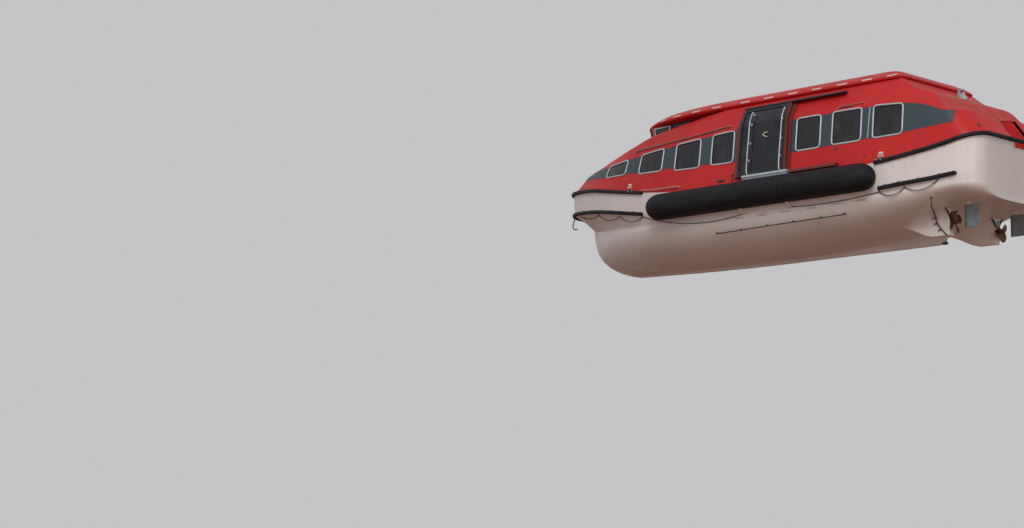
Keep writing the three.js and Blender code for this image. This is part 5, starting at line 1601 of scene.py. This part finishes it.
# %% Console
WHEEL_HUB = (3.235, 0, 1.3)
console = rounded([[3.3, SOLE_Z], [4.0, SOLE_Z], [4.0, 1.35], [3.8, 1.6], [3.3, 1.35]], 0.03)
console = prism(console, -0.45, 0.45)
make_piece("console_body", console, GEAR_GREY, slot="gear_grey", replaces=("helm_console",), bevel=0.012)
angle = np.linspace(0, 2 * math.pi, 40, endpoint=False)
wheel = np.stack([3.22 - 0.06 * np.cos(angle), 0.19 * np.sin(angle), 1.3 + 0.18 * np.cos(angle)], -1)
wheel_parts = tube(wheel, 0.012, 10, closed=True)
for k in (0, 13, 27):
    wheel_parts += tube([wheel[k], WHEEL_HUB], 0.008, 8)
wheel_parts += tube([WHEEL_HUB, (3.34, 0, 1.27)], 0.025, 12)
make_piece("helm_wheel", wheel_parts, DARK_IRON, slot="door_black")
DIAL = [(0, -0.01), (0.055, -0.01), (0.055, 0.012), (0.045, 0.016), (0, 0.014)]
dials = []
for y in (-0.3, -0.1, 0.1, 0.3):
    dials += lathe(DIAL, (3.55, y, 1.475), (-0.45, 0, 0.9), 20)
make_piece("helm_dials", dials, DARK_IRON, slot="door_black")


# %% [markdown]
# ## Grab lines
# A limp rope hangs in loops from studs under the strakes, for people in the water to hold. Between two studs
# each loop is a parabola, z = straight line - 4 sag t (1 - t), laid against the hull where that bulges.

# %% Ropes
ROPE_DIAMETER = 0.02
ROPE_GREY = make_metal("rope_grey", (0.05, 0.035, 0.032), (0.03, 0.022, 0.02), 0.8, 0.0, (1, 1, 1), 60)
ROPE_RUNS = {  # for each loop: x and z of its two ends, then its sag
    "fore": [(6.3, 0.905, 5.25, 0.79, 0.07), (5.25, 0.79, 4.28, 0.62, 0.13), (4.28, 0.62, 3.28, 0.475, 0.14),
             (3.28, 0.475, -0.25, 0.15, 0.22)],
    "aft": [(-1.75, 0.15, -4.42, 0.215, 0.06), (-4.42, 0.215, -5.15, 0.24, 0.14),
            (-5.15, 0.24, -6.1, 0.31, 0.15)],
}


def rope_route(loops):
    """All loops of one rope, end to end, outside the hull by a little more than the rope's radius."""
    rows = []
    for x0, z0, x1, z1, sag in loops:
        t = np.linspace(0, 1, max(14, int(abs(x1 - x0) / 0.05)))
        x, z = x0 + (x1 - x0) * t, z0 + (z1 - z0) * t - 4 * sag * t * (1 - t)
        ends = hull_at(np.array([x0, x1]), np.array([z0, z1]), 0.012)[:, 1]
        y = np.maximum(ends[0] + (ends[1] - ends[0]) * t, hull_at(x, z, 0.012)[:, 1])
        rows.append(np.stack([x, y, z], -1)[1 if rows else 0:])
    return np.vstack(rows)


ROPE_STUD = [(0, -0.02), (0.022, -0.02), (0.022, 0.0), (0.012, 0.004), (0.01, 0.026), (0, 0.026)]
for side, s in SIDES:
    for name, loops in ROPE_RUNS.items():
        route = rope_route(loops) * (1, s, 1)
        rope = make_piece(f"grab_line_{name}_{side}", sweep(route, circle(ROPE_DIAMETER / 2, 8)), ROPE_GREY)
        start, places = tuple(route[0].tolist()), route.tolist()
        studs = []
        for x, z in sorted({(run[k], run[k + 1]) for run in loops for k in (0, 2)}):
            station = before_rake(x, z)
            normal = outward(hull_point, station, hull_side(station, z))
            studs += lathe(ROPE_STUD, hull_at(x, z + 0.012), normal, 12)
        make_piece(f"grab_line_studs_{name}_{side}", on(s, studs), DARK_IRON, slot="gear_grey")

# %% [markdown]
# ## Fittings
# Small gear stands on both sides: reflective tapes on the roof, a rain gutter over each band with painted
# shade under it, cleats and fairleads at the strakes' ends, grab rails, vents and pads. Each row of a table is
# one fitting's place.

# %% Places on the skins
TAPE_PALE = make_metal("tape_pale", (0.62, 0.54, 0.44), (0.50, 0.43, 0.36), 0.4, 0.0)
TAPE_GREY = make_metal("tape_grey", (0.47, 0.46, 0.45), (0.40, 0.39, 0.38), 0.45, 0.0)
RAIL_ROSE = make_metal("rail_rose", (0.50, 0.30, 0.26), (0.40, 0.22, 0.19), 0.45, 0.1)
GUTTER_BROWN = make_metal("gutter_brown", (0.40, 0.15, 0.105), (0.30, 0.11, 0.08), 0.5, 0.0)


def side_normal(x, z):
    """The unit normal of the canopy's port side at x and z."""
    station = before_rake(x, z)
    return outward(canopy_point, station, side_height(station, z))


def hull_normal(x, z):
    """The unit normal of the hull's port side at x and z."""
    station = before_rake(x, z)
    return outward(hull_point, station, np.clip(hull_side(station, z), 0.02, 2.98))


def strip(path, normal, breadth, thick):
    """A flat strip along a path, lying on a surface."""
    flat = rounded(rectangle(-breadth / 2, breadth / 2, -0.004, thick), min(0.3 * thick, 0.002), 3)
    return sweep(path, flat, normal)


def pad(at, normal, size, ease):
    """A small block of (length, height, thickness) standing on a surface, its length along the boat."""
    length, height, thick = size
    face = rounded(rectangle(-height / 2, height / 2, -0.01, thick), ease, 3)
    path = at + np.linspace(-length / 2, length / 2, 5)[:, None] * (1, 0, 0)
    return sweep(path, face, unit(normal), size=[0.86, 1, 1, 1, 0.86])


def stud(at, normal, r, height, sides=12):
    """A round stud with a tapered head, standing on a surface."""
    profile = [(0, -0.01), (r, -0.01), (r, height * 0.6), (r * 0.7, height), (0, height)]
    return lathe(profile, at, normal, sides)


def standing_rod(path, normal, r, out, posts, foot_r=0.03):
    """A rod held off a surface on posts, with its ends turned back in to the surface."""
    lift = np.full(len(path), float(out))
    lift[[0, -1]], lift[[1, -2]] = 0.0, out * 0.75
    parts = tube(path + normal * lift[:, None], r, 10)
    for k in posts:
        parts += lathe([(0, 0), (foot_r, 0), (foot_r, 0.008), (r * 0.7, 0.012), (r * 0.7, out), (0, out)],
                       path[k], normal[k], 12)
    return parts


# %% Roof tapes and gutters
ROOF_TAPES = (3.18, 2.5, 1.74, 1.01, 0.05, -0.72, -1.49, -2.25, -3.04, -3.80, -4.55)
TAPE_LENGTH, TAPE_BREADTH, TAPE_INSET, TAPE_Z = 0.3, 0.055, 0.0285, 3.1905
GUTTERS = {
    "fore": [(3.86, 2.34), (3.83, 2.389), (2.92, 2.406), (2.03, 2.43), (1.16, 2.47), (0.36, 2.533),
             (0.12, 2.444), (0.05, 2.345)],
    "aft": [(-3.16, 2.47), (-3.19, 2.524), (-3.55, 2.53), (-3.91, 2.533), (-4.0, 2.47)],
}
tapes = []
for x in ROOF_TAPES:
    xs = x + np.linspace(-TAPE_LENGTH / 2, TAPE_LENGTH / 2, 7)
    path = np.stack([xs, roof_half(xs) - TAPE_INSET, np.full(7, TAPE_Z)], -1)
    tapes += strip(path, (0, 0.66, 0.75), TAPE_BREADTH, 0.003)
make_pair("roof_tapes_SIDE", tapes, TAPE_PALE, slot="rail_pale")
for part, places in GUTTERS.items():
    xz = curve(places, 14 * len(places))
    gutter = tube(side_point(*xz.T) + side_normal(*xz.T) * 0.022, 0.013, 8)
    for x, z in (places[1], places[-3]):
        gutter += stud(side_point(x, z), side_normal(x, z), 0.024, 0.03)
    # Under each gutter a flat dark red strip is painted shade, where the gutter's shadow falls.
    under = dense(np.array(places[1:-2]) - (0, 0.03), 0.1, closed=False)
    shade_strip = strip(side_point(*under.T), side_normal(*under.T), 0.045, 0.009)
    make_pair(f"rain_gutter_{part}_SIDE", gutter + shade_strip, [GUTTER_BROWN] * len(gutter) + [PAINTED_SHADE_RED] * len(shade_strip),
              slot="canopy_red")

# %% Cleats, fairleads, vents and marks
# Two pads take the dark shaded red: painted shade of the canopy's red.
CANOPY_PADS = [  # x, z, length, height, thickness, finish
    (3.72, 1.31, 0.15, 0.09, 0.05, RAIL_ROSE), (3.73, 1.385, 0.10, 0.06, 0.05, TAPE_PALE),
    (3.62, 1.185, 0.26, 0.055, 0.07, DARK_IRON), (-4.54, 1.075, 0.17, 0.085, 0.05, RAIL_ROSE),
    (-4.54, 1.15, 0.12, 0.07, 0.05, TAPE_PALE), (-4.5, 0.985, 0.28, 0.055, 0.07, DARK_IRON),
    (0.47, 1.09, 0.22, 0.06, 0.035, DARK_IRON), (0.09, 1.19, 0.06, 0.06, 0.03, DARK_IRON),
    (0.085, 1.08, 0.055, 0.10, 0.035, PAINTED_SHADE_RED), (5.78, 2.03, 0.17, 0.022, 0.008, TAPE_PALE),
    (-3.16, 1.455, 0.07, 0.07, 0.02, DARK_IRON), (-4.03, 1.17, 0.05, 0.05, 0.018, DARK_IRON),
    (3.83, 2.37, 0.06, 0.06, 0.03, PAINTED_SHADE_RED),
]
FAIRLEAD_HOLES = ((3.55, 1.185), (3.69, 1.185), (-4.43, 0.985), (-4.57, 0.985))
FAIRLEAD_EYE = [(0, -0.01), (0.02, -0.01), (0.02, 0.012), (0.012, 0.014), (0.01, 0.0), (0, 0.0)]
parts, kinds = [], []
for x, z, *size, finish in CANOPY_PADS:
    added = pad(side_point(x, z), side_normal(x, z), size, 0.012)
    parts += added
    kinds += [finish] * len(added)
for x, z in FAIRLEAD_HOLES:
    added = lathe(FAIRLEAD_EYE, side_point(x, z) + side_normal(x, z) * 0.07, side_normal(x, z), 12)
    parts += added
    kinds += [STEEL] * len(added)
make_pair("deck_gear_SIDE", parts, kinds, slot="gear_grey")
xz = curve([(3.29, 1.155), (2.78, 1.12), (2.3, 1.107), (1.86, 1.095)], 31)
rail = standing_rod(side_point(*xz.T), side_normal(*xz.T), 0.015, 0.06, (1, 10, 20, 29))
for k in (6, 16, 25):
    rail += stud(side_point(*xz[k]) + side_normal(*xz[k]) * 0.06, side_normal(*xz[k]), 0.024, 0.025)
make_pair("side_grab_rail_SIDE", rail, RAIL_ROSE, slot="rail_pale")
xz = dense([(-4.105, 1.6), (-4.14, 2.385)], 0.1, closed=False)
bar = strip(side_point(*xz.T), side_normal(*xz.T), 0.022, 0.022)
make_pair("window_bar_SIDE", bar, RAIL_PALE, slot="rail_pale")
VENT_PLACE = (-7.17, 0.36)  # x and v on the canopy
VENT = [(0, -0.01), (0.035, -0.01), (0.04, 0.006), (0.03, 0.012), (0, 0.01)]
vent = lathe(VENT, canopy_point(*VENT_PLACE), outward(canopy_point, *VENT_PLACE), 16)
make_pair("stern_vent_SIDE", vent, DARK_IRON, slot="gear_grey")
latch = curve([(-1.055, 2.165), (-0.985, 2.145), (-0.945, 2.105), (-0.985, 2.065), (-1.055, 2.045)], 21)
grip = standing_rod(*door_line(latch, DOOR_FAR), 0.014, 0.03, (4, 16), 0.022)
make_pair("door_handle_SIDE", grip, TAPE_PALE, "SIDE_door", "rail_pale")

# %% [markdown]
# ## Gear on the hull
# Below the fenders are a long grab rail for swimmers, brackets that carry the fender and faint pads. A bent
# guard bar stands by each skeg to keep lines out of the propeller.

# %% Hull gear
HULL_TAPES = ((-0.08, 0.055), (-0.81, 0.05), (-1.57, 0.06), (-2.36, 0.055), (-3.13, 0.07), (-3.85, 0.08))
HULL_TAPE_SIZE = (0.3, 0.04, 0.004)
STRAKE_STUDS = (6.25, 5.94, 5.48, 4.53, 3.6, -4.63, -5.02, -5.57, -6.16)
GUARD_BAR = [(-5.745, 1.89, -0.05), (-5.56, 1.6, -0.20), (-5.42, 1.3, -0.31), (-5.39, 1.19, -0.42),
             (-5.41, 1.155, -0.56), (-5.52, 1.145, -0.72), (-5.67, 1.14, -0.875)]
tapes = []
for x, z in HULL_TAPES:
    tapes += pad(hull_at(x, z), hull_normal(x, z), HULL_TAPE_SIZE, 0.001)
make_pair("hull_tapes_SIDE", tapes, TAPE_GREY, slot="rail_pale")
x = np.linspace(0.82, -3.33, 60)
z = np.interp(x, [-3.33, 0.82], [-0.175, -0.225])
rail = standing_rod(hull_at(x, z), hull_normal(x, z), 0.014, 0.05, (1, 12, 24, 36, 48, 58), 0.026)
make_pair("bilge_grab_rail_SIDE", rail, DARK_IRON, slot="gear_grey")
brackets = []
for x in (-0.245, -1.745):
    foot = float(hull_at(x, 0.25)[1])
    outline = [[0.02 - foot, 0.29], [-foot - 0.16, 0.275], [-foot - 0.15, 0.24], [0.02 - foot, 0.12]]
    brackets += sweep([(x - 0.035, 0, 0), (x, 0, 0), (x + 0.035, 0, 0)], outline, (0, 0, 1))
make_pair("fender_brackets_SIDE", brackets, HULL_WHITE, slot="hull_white")
studs = []
for x in STRAKE_STUDS:
    z = float(HULL["strakeZ"](before_rake(x, 0.6)))
    studs += stud(hull_at(x, z) + hull_normal(x, z) * 0.035 + (0, 0, 0.045), (0, 0, 1), 0.016, 0.035, 10)
make_pair("strake_studs_SIDE", studs, DARK_IRON, slot="gear_grey")
GUARD_FOOT = [(0, -0.03), (0.03, -0.03), (0.034, 0), (0.03, 0.03), (0, 0.03)]
guard = tube(curve(GUARD_BAR, 30), 0.016, 10) + lathe(GUARD_FOOT, GUARD_BAR[0], (0, 0.3, 1), 14)
for k in (3, 4, 5):
    at = np.array(GUARD_BAR[k])
    guard += tube([at, at + (0.09, 0.0, -0.012)], 0.016, 8)
    guard += tube([at, at * (1, 0, 1) + (0, 1.1, 0)], 0.012, 8)
make_pair("guard_bar_SIDE", guard, DARK_IRON, slot="gear_grey")
INTAKE = [(4.77, 0.7), (4.56, 0.66), (4.3, 0.55), (3.95, 0.6), (3.87, 0.75), (4.2, 0.86)]
ring = curve(INTAKE, 40, closed=True)
rim_path = np.column_stack([ring, hull_height(*ring.T)])
make_pair("intake_rim_SIDE", tube(rim_path, 0.014, 8, closed=True), HULL_WHITE, slot="hull_white")
BOW_STEP = [(6.83, 0.83, 0.97), (6.86, 0.86, 0.86), (6.88, 0.87, 0.72), (6.83, 0.85, 0.65),
            (6.76, 0.82, 0.66)]
make_pair("bow_step_SIDE", tube(curve(BOW_STEP, 24), 0.016, 10), DARK_IRON, slot="gear_grey")
make_piece("keel_shoe", block((-4.93, -0.06, -0.9), (-4.8, 0.06, -0.84), 0.015), DARK_IRON, slot="gear_grey")

# %% [markdown]
# ## Floor and light
# The floor is warm and dark, as it colours the boat's underside. The world is pale grey, and three soft
# panels add a broad key from high to port, a weak warm fill from below and a small glow on the stern corner.

# %% Studio
FLOOR_Z, FLOOR_HALF = -9.45, 120
FLOOR_COLOURS = (0.25, 0.125, 0.09), (0.28, 0.145, 0.105)
WORLD_COLOUR, WORLD_STRENGTH = (0.90, 0.89, 0.91, 1), 0.62


def make_studio():
    """A large level floor at the camera's feet and a pale world, shown without a film look."""
    bpy.ops.mesh.primitive_plane_add(size=2 * FLOOR_HALF, location=(0, 0, FLOOR_Z))
    floor = bpy.context.object
    floor.name = "floor"
    tree = Tree("floor_warm")
    tree.set(Roughness=0.8)
    tree.link(tree.ramp(tree.noise(0.3, 3), (0.3, FLOOR_COLOURS[0]), (0.7, FLOOR_COLOURS[1])), "Base Color")
    floor.data.materials.append(tree.material)
    world = bpy.data.worlds.new("pale")
    world.use_nodes = True
    background = world.node_tree.nodes["Background"]
    background.inputs["Color"].default_value = WORLD_COLOUR
    background.inputs["Strength"].default_value = WORLD_STRENGTH
    bpy.context.scene.world = world
    bpy.context.scene.view_settings.view_transform = "Standard"


def add_panel(name, at, aim, size, power, colour):
    """A square soft light at a place, turned towards a point."""
    light = bpy.data.lights.new(name, "AREA")
    light.shape, light.size, light.energy, light.color = "SQUARE", size, power, colour
    holder = bpy.data.objects.new(name, light)
    bpy.context.scene.collection.objects.link(holder)
    holder.location = at
    holder.rotation_euler = (Vector(aim) - Vector(at)).to_track_quat("-Z", "Y").to_euler()


make_studio()
add_panel("key", (-14, 26, 20), (0, 0, 1), 14, 5200, (1.0, 0.97, 0.95))
add_panel("fill", (-6, 18, -7.5), (0, 0, 0), 16, 250, (1.0, 0.78, 0.68))
add_panel("stern", (-19, 9, 1), (-6, 1, 0.6), 6, 260, (1.0, 0.86, 0.76))
